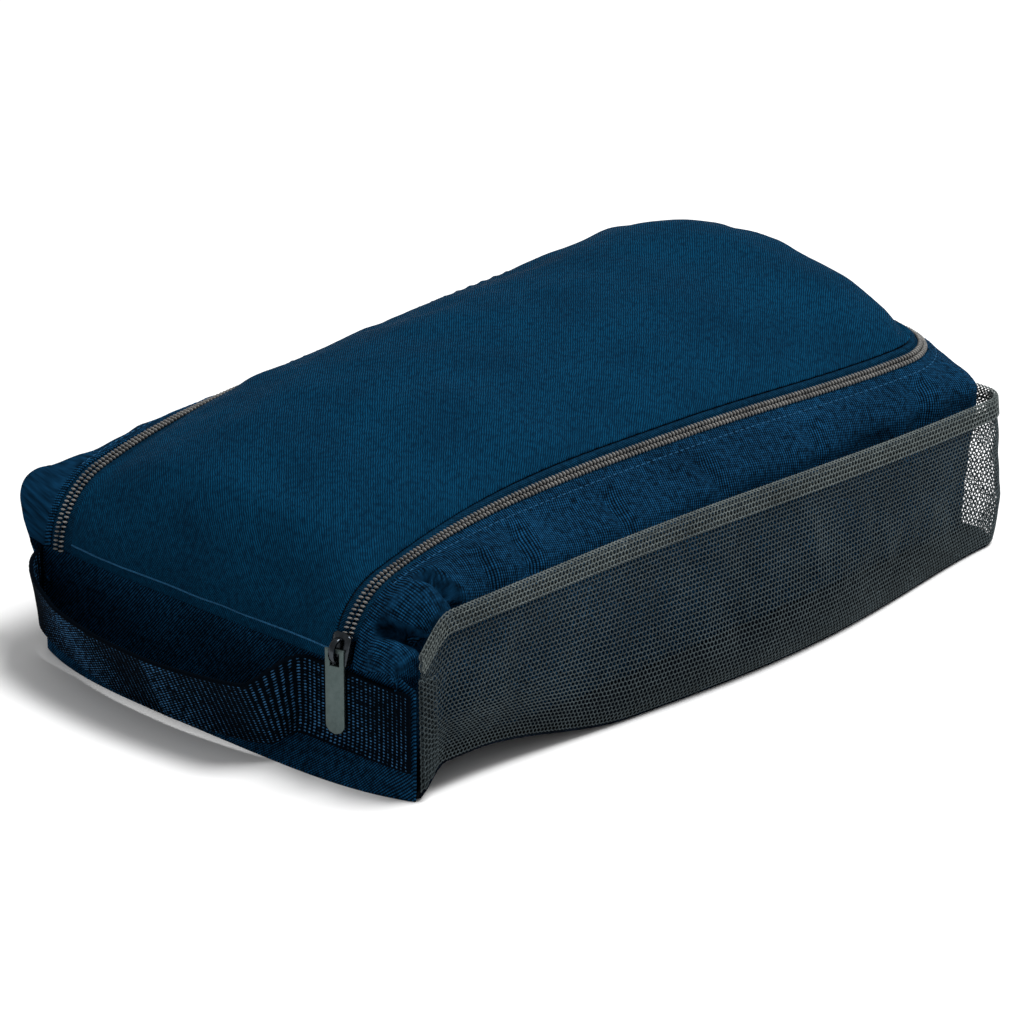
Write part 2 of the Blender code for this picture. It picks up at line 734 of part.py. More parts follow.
low_phi = SLIDER_PHI - SLIDER_SPAN / 2
high_phi = SLIDER_PHI + SLIDER_SPAN / 2
PLATE_TOP = ROOF + SLIDER_PLATE
PIN_H = PLATE_TOP + PIN_R + PIN_LIFT
BRIDGE_IN = PIN_H + PIN_R + BRIDGE_FIT
BRIDGE_OUT = BRIDGE_IN + BRIDGE_T
LEG_PHI = BRIDGE_HALF_L / DIP_R
LEG_SPAN = BRIDGE_T / DIP_R
LEG_SETBACK = 0.1 / DIP_R
LEG_HALF = BRIDGE_W / 2 - 0.05
POST_PHI = low_phi + POST_SETBACK / DIP_R
plate_top = along_dip(channel(ROOF, PLATE_TOP, SLIDER_FIT), low_phi, high_phi)
plate_low = along_dip(channel(FLOOR, FLOOR - SLIDER_PLATE, -TAPE_T - SLIDER_FIT / 2), low_phi, high_phi)
post = along_dip(box(-SLIDER_POST / 2, SLIDER_POST / 2, FLOOR - OVERLAP, ROOF + OVERLAP),
                 POST_PHI, POST_PHI + POST_L / DIP_R)
bridge = along_dip(box(-BRIDGE_W / 2, BRIDGE_W / 2, BRIDGE_IN, BRIDGE_OUT),
                   SLIDER_PHI - LEG_PHI, SLIDER_PHI + LEG_PHI)
leg_box = box(-LEG_HALF, LEG_HALF, PLATE_TOP - OVERLAP, BRIDGE_IN + OVERLAP)
leg_low = along_dip(leg_box, SLIDER_PHI - LEG_PHI + LEG_SETBACK, SLIDER_PHI - LEG_PHI + LEG_SPAN, 2)
leg_high = along_dip(leg_box, SLIDER_PHI + LEG_PHI - LEG_SPAN, SLIDER_PHI + LEG_PHI - LEG_SETBACK, 2)
slider = joined("zip_slider", [plate_top, plate_low, post, bridge, leg_low, leg_high], gunmetal, SLIDER_AXIS)


# Pull tab: a flat tongue with a window, hanging from the round bar at its head.

PULL_AXIS = on_zip(SLIDER_PHI, 0, PIN_H)
WINDOW_W = BRIDGE_W + 2 * WINDOW_FIT
WINDOW_TOP = PIN_R + 0.1


def tongue_outline():
    half = PULL_W / 2
    tip = PULL_L - half
    turns = [math.pi * k / 12 for k in range(13)]
    end = [(-half * math.cos(a), tip + half * math.sin(a)) for a in turns]
    return [(-half, -PIN_R)] + end + [(half, -PIN_R)]


def pull_solid(outline, thickness):
    """An outline in (across, down) raised to a plate about the pull tab's own plane."""
    rings = []
    for x in (-thickness / 2, thickness / 2):
        rings.append([PULL_AXIS + Vector((x, across, -down)) for across, down in outline])
    return loft(rings)


pull = finish(pull_solid(tongue_outline(), PULL_T), "zip_pull_tab", pull_metal, PULL_AXIS, rounded=False)
window_outline = box(-WINDOW_W / 2, WINDOW_W / 2, WINDOW_TOP, WINDOW_L)
window = finish(pull_solid(window_outline, PULL_T * 3), "pull_window", pull_metal, PULL_AXIS, rounded=False)
bag.objects.unlink(window)
helpers.objects.link(window)
window.hide_render = True
window.display_type = "WIRE"
opening = pull.modifiers.new("window", "BOOLEAN")
opening.operation = "DIFFERENCE"
opening.solver = "EXACT"
opening.object = window
soften = pull.modifiers.new("edges", "BEVEL")
soften.width = PULL_EDGE_R * MM
soften.segments = 2
soften.limit_method = "ANGLE"
soften.angle_limit = math.radians(50)
pull.parent = slider
pull.location = (PULL_AXIS - SLIDER_AXIS) * MM
window.parent = slider
window.location = pull.location
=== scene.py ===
"""Golf shoe bag: cloth body with a zipped lid, a webbing handle and a net pocket on each side.

Sizes are in millimetres and go to metres when a mesh is made. +X runs from the handle end to
the far end, -Y is the side with the zip slider, +Z is up, and the base lies on z = 0.
"""

import math

import bmesh
import bpy
import numpy as np
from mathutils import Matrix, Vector, noise
from mathutils.bvhtree import BVHTree


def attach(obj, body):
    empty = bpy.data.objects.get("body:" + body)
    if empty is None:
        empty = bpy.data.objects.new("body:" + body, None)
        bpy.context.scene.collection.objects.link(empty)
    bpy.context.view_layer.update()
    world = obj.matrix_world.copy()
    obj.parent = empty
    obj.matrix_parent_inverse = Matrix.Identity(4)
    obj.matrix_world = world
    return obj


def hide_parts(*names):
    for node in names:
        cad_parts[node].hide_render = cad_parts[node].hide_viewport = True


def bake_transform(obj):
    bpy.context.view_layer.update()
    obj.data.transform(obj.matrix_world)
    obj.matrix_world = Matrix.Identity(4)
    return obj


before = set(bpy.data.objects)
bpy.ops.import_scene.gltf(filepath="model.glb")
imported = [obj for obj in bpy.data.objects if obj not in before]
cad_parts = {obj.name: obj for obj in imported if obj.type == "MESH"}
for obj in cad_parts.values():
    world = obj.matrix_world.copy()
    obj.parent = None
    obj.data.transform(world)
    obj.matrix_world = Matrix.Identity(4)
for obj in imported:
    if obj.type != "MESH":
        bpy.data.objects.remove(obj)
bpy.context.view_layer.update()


# Base: a stiff board in coated cloth, its edge turned and sewn to the walls. The long sides
# bow out under the filled pockets, and the edge behind each front corner curls off the floor.

MM = 0.001
LENGTH = 368.0
HALF_WIDTH = 108.0
FRONT_X = -LENGTH / 2
FAR_X = LENGTH / 2
RIGHT, LEFT = -1, 1
BASE_T = 3.0
BASE_BOW = 14.0
BASE_CORNER_R = 12.0
BASE_CURL = 12.0
FOOT_OUT = 12.0
FOOT_HIGH = 20.0
CLOTH_MAP = "cloth"
DRAWN_OUT = "drawn_out"
# Blender's band texture repeats every 2 pi / 20 of its coordinate at scale 1
BAND = 2 * math.pi / 20


def smooth(low, high, value):
    t = np.clip((value - low) / (high - low), 0.0, 1.0)
    return t * t * (3 - 2 * t)


def mix(a, b, t):
    return a + (b - a) * t


def unit(vectors):
    return vectors / np.maximum(np.linalg.norm(vectors, axis=-1, keepdims=True), 1e-9)


def linear(colour):
    """An sRGB hex colour as linear RGBA."""
    parts = [int(colour[k:k + 2], 16) / 255 for k in (1, 3, 5)]
    return [c / 12.92 if c <= 0.04045 else ((c + 0.055) / 1.055) ** 2.4 for c in parts] + [1.0]


def wire(tree, node, inputs):
    """Sets a node's inputs: each is a value, a socket, or a node that gives its first output."""
    for key, value in inputs.items():
        if isinstance(value, bpy.types.Node):
            value = value.outputs[0]
        if isinstance(value, bpy.types.NodeSocket):
            tree.links.new(value, node.inputs[key])
        else:
            node.inputs[key].default_value = value


def add(tree, kind, inputs=None, stops=(), **settings):
    """A new node with its settings and inputs, and the places and colours of a ramp's stops."""
    node = tree.nodes.new(kind)
    for name, value in settings.items():
        setattr(node, name, value)
    for k, (place, colour) in enumerate(stops):
        node.color_ramp.elements[k].position = place
        node.color_ramp.elements[k].color = linear(colour)
    wire(tree, node, inputs or {})
    return node


def new_look(name):
    """A material with its node tree and its shader."""
    look = bpy.data.materials.new(name)
    look.use_nodes = True
    return look, look.node_tree, look.node_tree.nodes["Principled BSDF"]


def woven(name, dark, light, rib, lean, yarn, breaks, relief, low=0.0, waver=1.0):
    """Cloth with ribs of one spacing at a lean; breaks is how far the crossing yarn cuts them."""
    look, tree, shader = new_look(name)
    place = add(tree, "ShaderNodeUVMap", uv_map=CLOTH_MAP)
    turned = add(tree, "ShaderNodeMapping", {"Vector": place, "Rotation": (0, 0, lean)})
    ribs = add(tree, "ShaderNodeTexWave", {"Vector": turned, "Scale": BAND / (rib * MM), "Distortion": waver,
                                           "Detail": 2.0, "Detail Scale": 0.8})
    yarns = add(tree, "ShaderNodeTexWave", {"Vector": turned, "Scale": BAND / (yarn * MM),
                                            "Distortion": 0.8 * waver, "Detail": 1.0}, bands_direction="Y")
    cut = add(tree, "ShaderNodeMapRange", {"Value": yarns.outputs["Fac"], "To Min": 1 - breaks})
    crossed = add(tree, "ShaderNodeMath", {0: ribs.outputs["Fac"], 1: cut}, operation="MULTIPLY")
    # The map is drawn out inside a deep fold, so the weave fades to its middle tone there
    drawn = add(tree, "ShaderNodeAttribute", attribute_name=DRAWN_OUT)
    middle_tone = (1 - breaks / 2) / 2
    weave = add(tree, "ShaderNodeMix", {"Factor": drawn.outputs["Fac"], "A": crossed, "B": middle_tone})
    slub = add(tree, "ShaderNodeTexNoise", {"Vector": place, "Scale": 1 / (2.4 * MM), "Detail": 2.0})
    uneven = add(tree, "ShaderNodeMapRange", {"Value": slub.outputs["Fac"], "From Min": 0.3, "From Max": 0.7,
                                              "To Min": 0.35, "To Max": 1.25})
    thread = add(tree, "ShaderNodeMath", {0: weave, 1: uneven}, operation="MULTIPLY")
    cloud = add(tree, "ShaderNodeTexNoise", {"Vector": place, "Scale": 1 / (38 * MM), "Detail": 4.0})
    worn = add(tree, "ShaderNodeMapRange", {"Value": cloud.outputs["Fac"], "From Min": 0.3, "From Max": 0.7,
                                            "To Min": 0.75, "To Max": 1.25})
    amount = add(tree, "ShaderNodeMath", {0: thread, 1: worn}, operation="MULTIPLY", use_clamp=True)
    colour = add(tree, "ShaderNodeValToRGB", {"Fac": amount}, stops=((low, dark), (1.0, light)))
    raised = add(tree, "ShaderNodeBump", {"Height": thread, "Strength": 0.8, "Distance": relief * MM})
    shine = add(tree, "ShaderNodeMapRange", {"Value": thread, "To Min": 0.9, "To Max": 0.7})
    wire(tree, shader, {"Base Color": colour, "Normal": raised, "Roughness": shine,
                        "Specular IOR Level": 0.02, "Sheen Weight": 0.01, "Sheen Roughness": 0.5,
                        "Sheen Tint": linear(light)})
    return look


def grid_normals(grid, facing):
    """Unit normals of a grid of points, turned to the side that it faces."""
    along, across = unit(np.gradient(grid, axis=0)), unit(np.gradient(grid, axis=1))
    normal = np.cross(along, across)
    pinched = np.linalg.norm(normal, axis=2, keepdims=True) < 0.4
    normal = unit(normal if (normal.mean(axis=(0, 1)) * np.array(facing)).sum() > 0 else -normal)
    # Where the grid's lines meet at a flat corner, the normal comes from the points around it
    for _ in range(6):
        wide = np.pad(normal, ((1, 1), (1, 1), (0, 0)), mode="edge")
        around = unit(wide[:-2, 1:-1] + wide[2:, 1:-1] + wide[1:-1, :-2] + wide[1:-1, 2:])
        normal = np.where(pinched, around, normal)
    return normal


def cloth_map(grid):
    """Lengths along the cloth and across it from its middle line, in millimetres, of each grid point."""
    rows, columns = grid.shape[:2]
    middle = columns // 2
    along = np.linalg.norm(np.diff(grid[:, :middle + 1], axis=0), axis=2).mean(axis=1)
    across = np.linalg.norm(np.diff(grid, axis=1), axis=2)
    u = np.concatenate([[0], np.cumsum(along)])
    v = np.concatenate([np.zeros((rows, 1)), np.cumsum(across, axis=1)], axis=1)
    return np.stack([np.repeat(u[:, None], columns, axis=1), v - v[:, middle:middle + 1]], axis=2)


def grid_steps(grid):
    """How long each grid point's cells are, along and across."""
    return np.stack([np.linalg.norm(np.gradient(grid, axis=k), axis=2) for k in (0, 1)], axis=2)


def drawn_out(grid, unfolded):
    """From 0 to 1, how far the folds draw each grid point's cells out of their unfolded size."""
    return smooth(1.1, 1.6, (grid_steps(grid) / np.maximum(grid_steps(unfolded), 1e-6)).max(axis=2))


def quads(rows, columns):
    """The faces of a grid of points."""
    corners = [i * columns + j for i in range(rows - 1) for j in range(columns - 1)]
    return [(a, a + 1, a + columns + 1, a + columns) for a in corners]


def write_map(mesh, name, spots):
    """A UV map from one place for each of a mesh's points."""
    corners = np.zeros(len(mesh.loops), np.int32)
    mesh.loops.foreach_get("vertex_index", corners)
    mesh.uv_layers.new(name=name).data.foreach_set("uv", spots[corners].astype(np.float32).ravel())


def in_scene(name, data):
    """A new object in the scene."""
    made = bpy.data.objects.new(name, data)
    bpy.context.scene.collection.objects.link(made)
    return made


def plain_mesh(name, points, faces, look, spots=None, drawn=None):
    """A closed mesh object from points in millimetres, with its faces turned outwards."""
    mesh = bpy.data.meshes.new(name)
    mesh.from_pydata([tuple(p) for p in np.asarray(points) * MM], [], faces)
    mesh.materials.append(look)
    if spots is not None:
        write_map(mesh, CLOTH_MAP, np.asarray(spots) * MM)
    if drawn is not None:
        mesh.attributes.new(DRAWN_OUT, "FLOAT", "POINT").data.foreach_set("value", drawn.astype(np.float32))
    bm = bmesh.new()
    bm.from_mesh(mesh)
    bmesh.ops.recalc_face_normals(bm, faces=bm.faces)
    bm.to_mesh(mesh)
    bm.free()
    mesh.polygons.foreach_set("use_smooth", np.ones(len(mesh.polygons), bool))
    return in_scene(name, mesh)


def sewn_panel(name, grid, thickness, facing, look, rim_steps=3, bias=0.0, unfolded=None):
    """A cloth panel whose outer face is the grid, its edge turned in a half round.

    bias turns its weave, and unfolded is the grid before its folds, which the weave is measured on.
    """
    rows, columns = grid.shape[:2]
    normal = grid_normals(grid, facing)
    turn = np.array([[math.cos(bias), math.sin(bias)], [-math.sin(bias), math.cos(bias)]])
    flat = cloth_map(grid if unfolded is None else unfolded) @ turn
    ring = [(i, 0) for i in range(rows)] + [(rows - 1, j) for j in range(1, columns)]
    ring += [(i, columns - 1) for i in range(rows - 2, -1, -1)] + [(0, j) for j in range(columns - 2, 0, -1)]
    at = np.array(ring)
    inner = np.clip(at, 1, [rows - 2, columns - 2])
    edge = grid[at[:, 0], at[:, 1]]
    up = normal[at[:, 0], at[:, 1]]
    along = unit(np.roll(edge, -1, axis=0) - np.roll(edge, 1, axis=0))
    out = edge - grid[inner[:, 0], inner[:, 1]]
    out -= up * (out * up).sum(axis=1, keepdims=True)
    out = unit(out - along * (out * along).sum(axis=1, keepdims=True))
    count = rows * columns
    points = [grid.reshape(-1, 3), (grid - normal * thickness).reshape(-1, 3)]
    spots = [flat.reshape(-1, 2)] * 2
    loops = [at[:, 0] * columns + at[:, 1]]
    for k in range(1, rim_steps + 1):
        round_by = math.pi * k / (rim_steps + 1)
        points.append(edge + (out * math.sin(round_by) + up * (math.cos(round_by) - 1)) * thickness / 2)
        spots.append(flat[at[:, 0], at[:, 1]])
        loops.append(2 * count + (k - 1) * len(ring) + np.arange(len(ring)))
    loops.append(loops[0] + count)
    outer = quads(rows, columns)
    faces = outer + [(count + a, count + d, count + c, count + b) for a, b, c, d in outer]
    for near, far in zip(loops, loops[1:]):
        for k in range(len(ring)):
            after = (k + 1) % len(ring)
            faces.append((int(near[k]), int(far[k]), int(far[after]), int(near[after])))
    drawn = np.zeros(sum(len(p) for p in points))
    if unfolded is not None:
        drawn[:count] = drawn_out(grid, unfolded).ravel()
    return plain_mesh(name, np.concatenate(points), faces, look, np.concatenate(spots), drawn)


def base_bow(x):
    part = np.clip((x - FRONT_X) / (LENGTH - BASE_CORNER_R), 0.0, 1.0)
    return BASE_BOW * np.sin(math.pi * part ** 1.3) ** 1.5


def base_edge(side, x):
    return side * (HALF_WIDTH + base_bow(x))


def base_curl(x):
    """How far the long edge stands off the floor behind the front corner."""
    return BASE_CURL * smooth(FRONT_X + 118, FRONT_X + 32, x) * smooth(FRONT_X - 2, FRONT_X + 15, x)


def front_foot(y, z):
    """How far the front bulges forward near the floor, between its corners."""
    return FOOT_OUT * (1 - abs(y / HALF_WIDTH) ** 4) * np.clip((FOOT_HIGH - z) / FOOT_HIGH, 0, 1) ** 2


# Coated polyester plain weave: near-black navy with a faint square thread and almost no shine
base_cloth = woven("coated_polyester_plain_weave", "#03060B", "#0C1826", 1.2, 0.0, 1.2, 0.7, 0.15)
base_rows = []
for x in np.linspace(FRONT_X, FAR_X, 150):
    into = np.clip((x - (FAR_X - BASE_CORNER_R)) / BASE_CORNER_R, 0, 1)
    half = abs(base_edge(RIGHT, x)) - BASE_CORNER_R * (1 - math.sqrt(1 - into ** 2)) * 0.999
    ys = -np.cos(np.linspace(0, math.pi, 60)) * half
    front = (front_foot(ys, BASE_T) - 2.0) * smooth(FRONT_X + 60, FRONT_X, x)
    lift = base_curl(x) * smooth(half - 34, half, abs(ys))
    base_rows.append(np.stack([x - front, ys, BASE_T - 0.4 + lift], axis=1))
base = sewn_panel("base_panel_cloth", np.array(base_rows), BASE_T - 0.4, (0, 0, 1), base_cloth)
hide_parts("base_panel")
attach(base, "bag")


# Zip: two woven tapes with a coil of plastic teeth on each, sewn round the lid in one line. It
# rises from a round dip at each front corner, runs along the side and turns across the far end.

FRONT_Z = 47.0
DIP_R = 33.0
DIP_SWEEP = math.radians(75.0)
DIP_X = FRONT_X + DIP_R
RUN_X = DIP_X - DIP_R * math.cos(DIP_SWEEP)
RUN_Z = FRONT_Z + DIP_R * math.sin(DIP_SWEEP)
ZIP_MID_Z = 92.5
ZIP_FAR_Z = 88.0
ZIP_FAR_X = FAR_X - 7.0
FAR_CORNER_R = 30.0
CORNER_X = ZIP_FAR_X - FAR_CORNER_R
ZIP_TILT = math.radians(35.0)
ZIP_FAR_TILT = 12.0
ZIP_FAR_RISE = 8.0
# How far the zip line lies left of the middle, and in from each side, at the front and at the far end
ZIP_SHIFT = (14.0, 6.0)
ZIP_INSET = (24.0, 20.0)
TAPE_T = 0.8
U_START = 1.44 / DIP_R / DIP_SWEEP
U_SPLIT = math.radians(27.4) / DIP_SWEEP
TOOTH_PITCH = 1.9


def run_height(x):
    middle = mix(RUN_X, CORNER_X, 0.55)
    if x < middle:
        t = (x - RUN_X) / (middle - RUN_X)
        rise = (middle - RUN_X) * math.tan(math.pi / 2 - DIP_SWEEP)
        return (RUN_Z * (2 * t ** 3 - 3 * t * t + 1) + rise * (t ** 3 - 2 * t * t + t)
                + ZIP_MID_Z * (3 * t * t - 2 * t ** 3))
    return mix(ZIP_MID_Z, ZIP_FAR_Z, smooth(middle, CORNER_X, x))


def run_side(side, x):
    t = smooth(RUN_X, CORNER_X, x)
    return mix(*ZIP_SHIFT, t) + side * (HALF_WIDTH - mix(*ZIP_INSET, t))


def zip_point(side, u):
    """u counts 0 to 1 along the dip, to 2 the side run, to 3 the far corner, to 4 the far middle."""
    tilt = ZIP_FAR_TILT if side == LEFT else 0.0
    if u < 1:
        phi = u * DIP_SWEEP
        x, z = DIP_X - DIP_R * math.cos(phi), FRONT_Z + DIP_R * math.sin(phi)
        return np.array([x, run_side(side, RUN_X), z])
    if u < 2:
        x = mix(RUN_X, CORNER_X, u - 1)
        return np.array([x, run_side(side, x), run_height(x) + tilt * smooth(1.3, 2.0, u)])
    y = run_side(side, CORNER_X)
    if u < 3:
        turn = (u - 2) * math.pi / 2
        return np.array([CORNER_X + FAR_CORNER_R * math.sin(turn),
                         y - side * FAR_CORNER_R * (1 - math.cos(turn)), ZIP_FAR_Z + tilt])
    top = ZIP_FAR_Z + ZIP_FAR_TILT / 2 + ZIP_FAR_RISE
    return np.array([ZIP_FAR_X, mix(y - side * FAR_CORNER_R, ZIP_SHIFT[1], u - 3),
                     mix(ZIP_FAR_Z + tilt, top, smooth(3.0, 4.0, u))])


def level_normal(u):
    if u < 1:
        phi = u * DIP_SWEEP
        return np.array([-math.cos(phi), 0, math.sin(phi)])
    if u < 2:
        x = mix(RUN_X, CORNER_X, u - 1)
        return unit(np.array([-(run_height(x + 0.5) - run_height(x - 0.5)), 0, 1.0]))
    return np.array([0, 0, 1.0])


def zip_frame(side, u):
    """Point, direction away from the lid along the cloth, and normal of the zip line."""
    ahead = zip_point(side, min(u + 0.002, 4.0))
    tangent = unit((ahead - zip_point(side, u - 0.002)) * -side)
    out = np.array([0.0, side, 0.0])
    lean = ZIP_TILT * smooth(1.0, 1.35, u)
    if u >= 2:
        turn = min(u - 2, 1.0) * math.pi / 2
        out = np.array([math.sin(turn), side * math.cos(turn), 0.0])
    normal = level_normal(u) * math.cos(lean) + out * math.sin(lean)
    normal = unit(normal - tangent * (normal @ tangent))
    return zip_point(side, u), np.cross(tangent, normal), normal


def zip_stations(first, last=4.0):
    """Steps of u a few millimetres apart."""
    marks = []
    for low, count in enumerate((40, 120, 40, 24)):
        marks += [mix(low, low + 1, k / count) for k in range(count)]
    return [first] + [u for u in marks if first + 0.004 < u < last - 0.004] + [last]


def round_stations(first):
    """(side, u) from the right front end of the zip round the far end to the left front end."""
    marks = zip_stations(first)
    return [(RIGHT, u) for u in marks] + [(LEFT, u) for u in marks[-2::-1]]


def zip_frames(stations):
    return [zip_frame(side, u) for side, u in stations]


def zip_strip(stations, section):
    """A grid along the zip line; the section is pairs of distance from it and height.

    It stays flat in the dip, where the slider runs over it.
    """
    rises = smooth(0.95, 1.2, np.array([u for _, u in stations]))
    return np.array([[p + d * w + n * h * rise for w, h in section]
                     for (p, d, n), rise in zip(zip_frames(stations), rises)])


def new_tree(name, *lengths):
    """A geometry tree with named lengths and a material as its inputs, and its input sockets."""
    tree = bpy.data.node_groups.new(name, "GeometryNodeTree")
    kinds = {"Geometry": "Geometry", **dict.fromkeys(lengths, "Float"), "Material": "Material"}
    for word, kind in kinds.items():
        tree.interface.new_socket(word, in_out="INPUT", socket_type="NodeSocket" + kind)
    tree.interface.new_socket("Geometry", in_out="OUTPUT", socket_type="NodeSocketGeometry")
    return tree, add(tree, "NodeGroupInput").outputs


# Row tree: a bead of given length, width and height repeated along a path at one spacing
row_tree, start = new_tree("row_along_seam", "Spacing", "Length", "Width", "Height", "Slant")
path = add(row_tree, "GeometryNodeMeshToCurve", {"Mesh": start["Geometry"]})
spaced = add(row_tree, "GeometryNodeResampleCurve", {"Curve": path, "Length": start["Spacing"]},
             mode="LENGTH")
along = add(row_tree, "GeometryNodeInputTangent")
facing = add(row_tree, "GeometryNodeInputNamedAttribute", {"Name": "facing"}, data_type="FLOAT_VECTOR")
axes = add(row_tree, "FunctionNodeAxesToRotation", {"Primary Axis": facing, "Secondary Axis": along},
           primary_axis="Z", secondary_axis="X")
slant = add(row_tree, "FunctionNodeAxisAngleToRotation", {"Axis": (0, 0, 1), "Angle": start["Slant"]})
turned = add(row_tree, "FunctionNodeRotateRotation", {"Rotation": axes, "Rotate By": slant},
             rotation_space="LOCAL")
size = add(row_tree, "ShaderNodeCombineXYZ",
           {"X": start["Length"], "Y": start["Width"], "Z": start["Height"]})
bead = add(row_tree, "GeometryNodeMeshUVSphere", {"Segments": 8, "Rings": 5, "Radius": 0.5})
placed = add(row_tree, "GeometryNodeInstanceOnPoints",
             {"Points": spaced, "Instance": bead, "Rotation": turned, "Scale": size})
real = add(row_tree, "GeometryNodeRealizeInstances", {"Geometry": placed})
soft = add(row_tree, "GeometryNodeSetShadeSmooth", {"Geometry": real})
looked = add(row_tree, "GeometryNodeSetMaterial", {"Geometry": soft, "Material": start["Material"]})
add(row_tree, "NodeGroupOutput", {"Geometry": looked})


def grown(name, source, tree, look, finish=None, **sizes):
    """The plain mesh that a tree makes from a mesh; lengths are in metres."""
    holder = in_scene(name, source)
    modifier = holder.modifiers.new("make", "NODES")
    modifier.node_group = tree
    for item in tree.interface.items_tree:
        if item.in_out == "INPUT" and item.name in sizes:
            modifier[item.identifier] = sizes[item.name]
        if item.in_out == "INPUT" and item.name == "Material":
            modifier[item.identifier] = look
    if finish:
        finish(holder)
    bpy.context.view_layer.update()
    mesh = bpy.data.meshes.new_from_object(holder.evaluated_get(bpy.context.evaluated_depsgraph_get()))
    bpy.data.objects.remove(holder)
    mesh.name = name
    mesh.materials.clear()
    mesh.materials.append(look)
    return in_scene(name, mesh)


def path_mesh(line):
    """An open path as a mesh, from pairs of point and normal in millimetres."""
    points, normals = (np.array(column) for column in zip(*line))
    mesh = bpy.data.meshes.new("seam_path")
    mesh.from_pydata([tuple(p) for p in points * MM], [(k, k + 1) for k in range(len(line) - 1)], [])
    facing = mesh.attributes.new("facing", "FLOAT_VECTOR", "POINT")
    facing.data.foreach_set("vector", normals.astype(np.float32).ravel())
    return mesh


def grained(name, dark, light, size, detail, rough, more=None):
    """A material mottled between two colours; rough is one roughness or the two it runs between."""
    look, tree, shader = new_look(name)
    place = add(tree, "ShaderNodeTexCoord").outputs["Object"]
    grain = add(tree, "ShaderNodeTexNoise", {"Vector": place, "Scale": 1 / (size * MM), "Detail": detail})
    colour = add(tree, "ShaderNodeValToRGB", {"Fac": grain.outputs["Fac"]}, stops=((0.0, dark), (1.0, light)))
    if isinstance(rough, tuple):
        rough = add(tree, "ShaderNodeMapRange", {"Value": grain.outputs["Fac"], "To Min": rough[0],
                                                 "To Max": rough[1]})
    wire(tree, shader, {"Base Color": colour, "Roughness": rough, **(more or {})})
    return look


# Woven polyester tape: navy like the lid and matt, with a slanting rib drawn coarser than life
zip_tape = woven("woven_polyester_tape", "#02121F", "#0C3C5A", 0.9, math.pi / 4, 0.9, 0.5, 0.12)

# Moulded nylon coil: grey, dark between the teeth, with a soft gloss on each one
zip_coil = grained("moulded_nylon_coil", "#232628", "#969490", 6, 3.0, (0.3, 0.5))

whole_line, lid_line = round_stations(U_START), round_stations(U_SPLIT)
end_us = [mix(U_START, U_SPLIT - 0.002, k / 16) for k in range(17)]
end_lines = {"right": [(RIGHT, u) for u in end_us], "left": [(LEFT, u) for u in end_us[::-1]]}
# Sections of the tapes as distance from the zip line and height; the lid's tape rolls up in a strip
BODY_STRIP = ((0.8, 0.0), (2.0, 0.0), (4.0, 0.0), (6.0, 0.0), (8.6, 0.0))
LID_STRIP = ((-9.4, -0.2), (-7.2, -0.2), (-6.5, 0.0), (-6.0, 0.9), (-5.1, 1.3), (-4.1, 1.2),
             (-3.4, 0.6), (-2.9, 0.0), (-0.8, 0.0))
body_strip, lid_strip = zip_strip(whole_line, BODY_STRIP), zip_strip(lid_line, LID_STRIP)
body_tape = sewn_panel("zip_tape_body_woven", body_strip, TAPE_T, (0, 0, 1), zip_tape, 1)
lid_tape = sewn_panel("zip_tape_lid_woven", lid_strip, TAPE_T, (0, 0, 1), zip_tape, 1)
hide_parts("zip_tape_body")
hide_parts("zip_tape_lid")
for piece, body in ((body_tape, "bag"), (lid_tape, "lid")):
    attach(piece, body)
# The teeth are drawn about half as coarse again as real ones, so that they show
TOOTH = dict(Spacing=TOOTH_PITCH * MM, Length=TOOTH_PITCH / 2 * MM, Width=2.6 * MM, Height=1.8 * MM,
             Slant=0.12)


def tooth_line(stations, way):
    """Where one side's teeth stand: apart in the dip, for the slider's post, and meeting beyond it."""
    outs = way * mix(1.65, 1.25, smooth(0.95, 1.1, np.array([u for _, u in stations])))
    return path_mesh([(p + d * out + n * 0.9, n) for (p, d, n), out in zip(zip_frames(stations), outs)])


body_coil = grown("zip_coil_body_teeth", tooth_line(whole_line, 1), row_tree, zip_coil, **TOOTH)
lid_coil = grown("zip_coil_lid_teeth", tooth_line(lid_line, -1), row_tree, zip_coil, **TOOTH)
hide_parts("zip_coil_body")
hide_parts("zip_coil_lid")
for piece, body in ((body_coil, "bag"), (lid_coil, "lid")):
    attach(piece, body)
for word, stations in end_lines.items():
    end_strip = zip_strip(stations, LID_STRIP)
    tape = sewn_panel("zip_end_tape_" + word, end_strip, TAPE_T, (-1, 0, 0.3), zip_tape, 1)
    teeth = grown("zip_end_teeth_" + word, tooth_line(stations, -1), row_tree, zip_coil, **TOOTH)
    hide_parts("zip_end_" + word)
    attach(tape, "bag")
    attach(teeth, "bag")


# Walls: the two side gussets and the far end, cut from twill and joined by upright seams near the
# far corners. The top edge is turned and topstitched along the zip; the foot is sewn to the base.

WALL_T = 0.9
SHOULDER_Z = 70.0
SHOULDER_SHIFT = 4.0
FOOT_INSET = 16.0
# Where the wall's edge lies from the zip line, in the dip and beyond, where it leaves the tape, and how
# far it stands over it
LAP_EDGE = (5.6, 3.4)
LAP_END = 8.4
LAP_RISE = 0.95
WALL_CORNER_R = 8.0
WALL_FAR_X = FAR_X - 1.7
U_WALL = 1.15 / DIP_R / DIP_SWEEP
U_SEAM = 2.25
ZIP_STITCH = 7.4


def bezier(points, t):
    a, b, c, d = points
    t = np.asarray(t)[:, None]
    s = 1 - t
    return a * s ** 3 + b * (3 * s * s * t) + c * (3 * s * t * t) + d * t ** 3


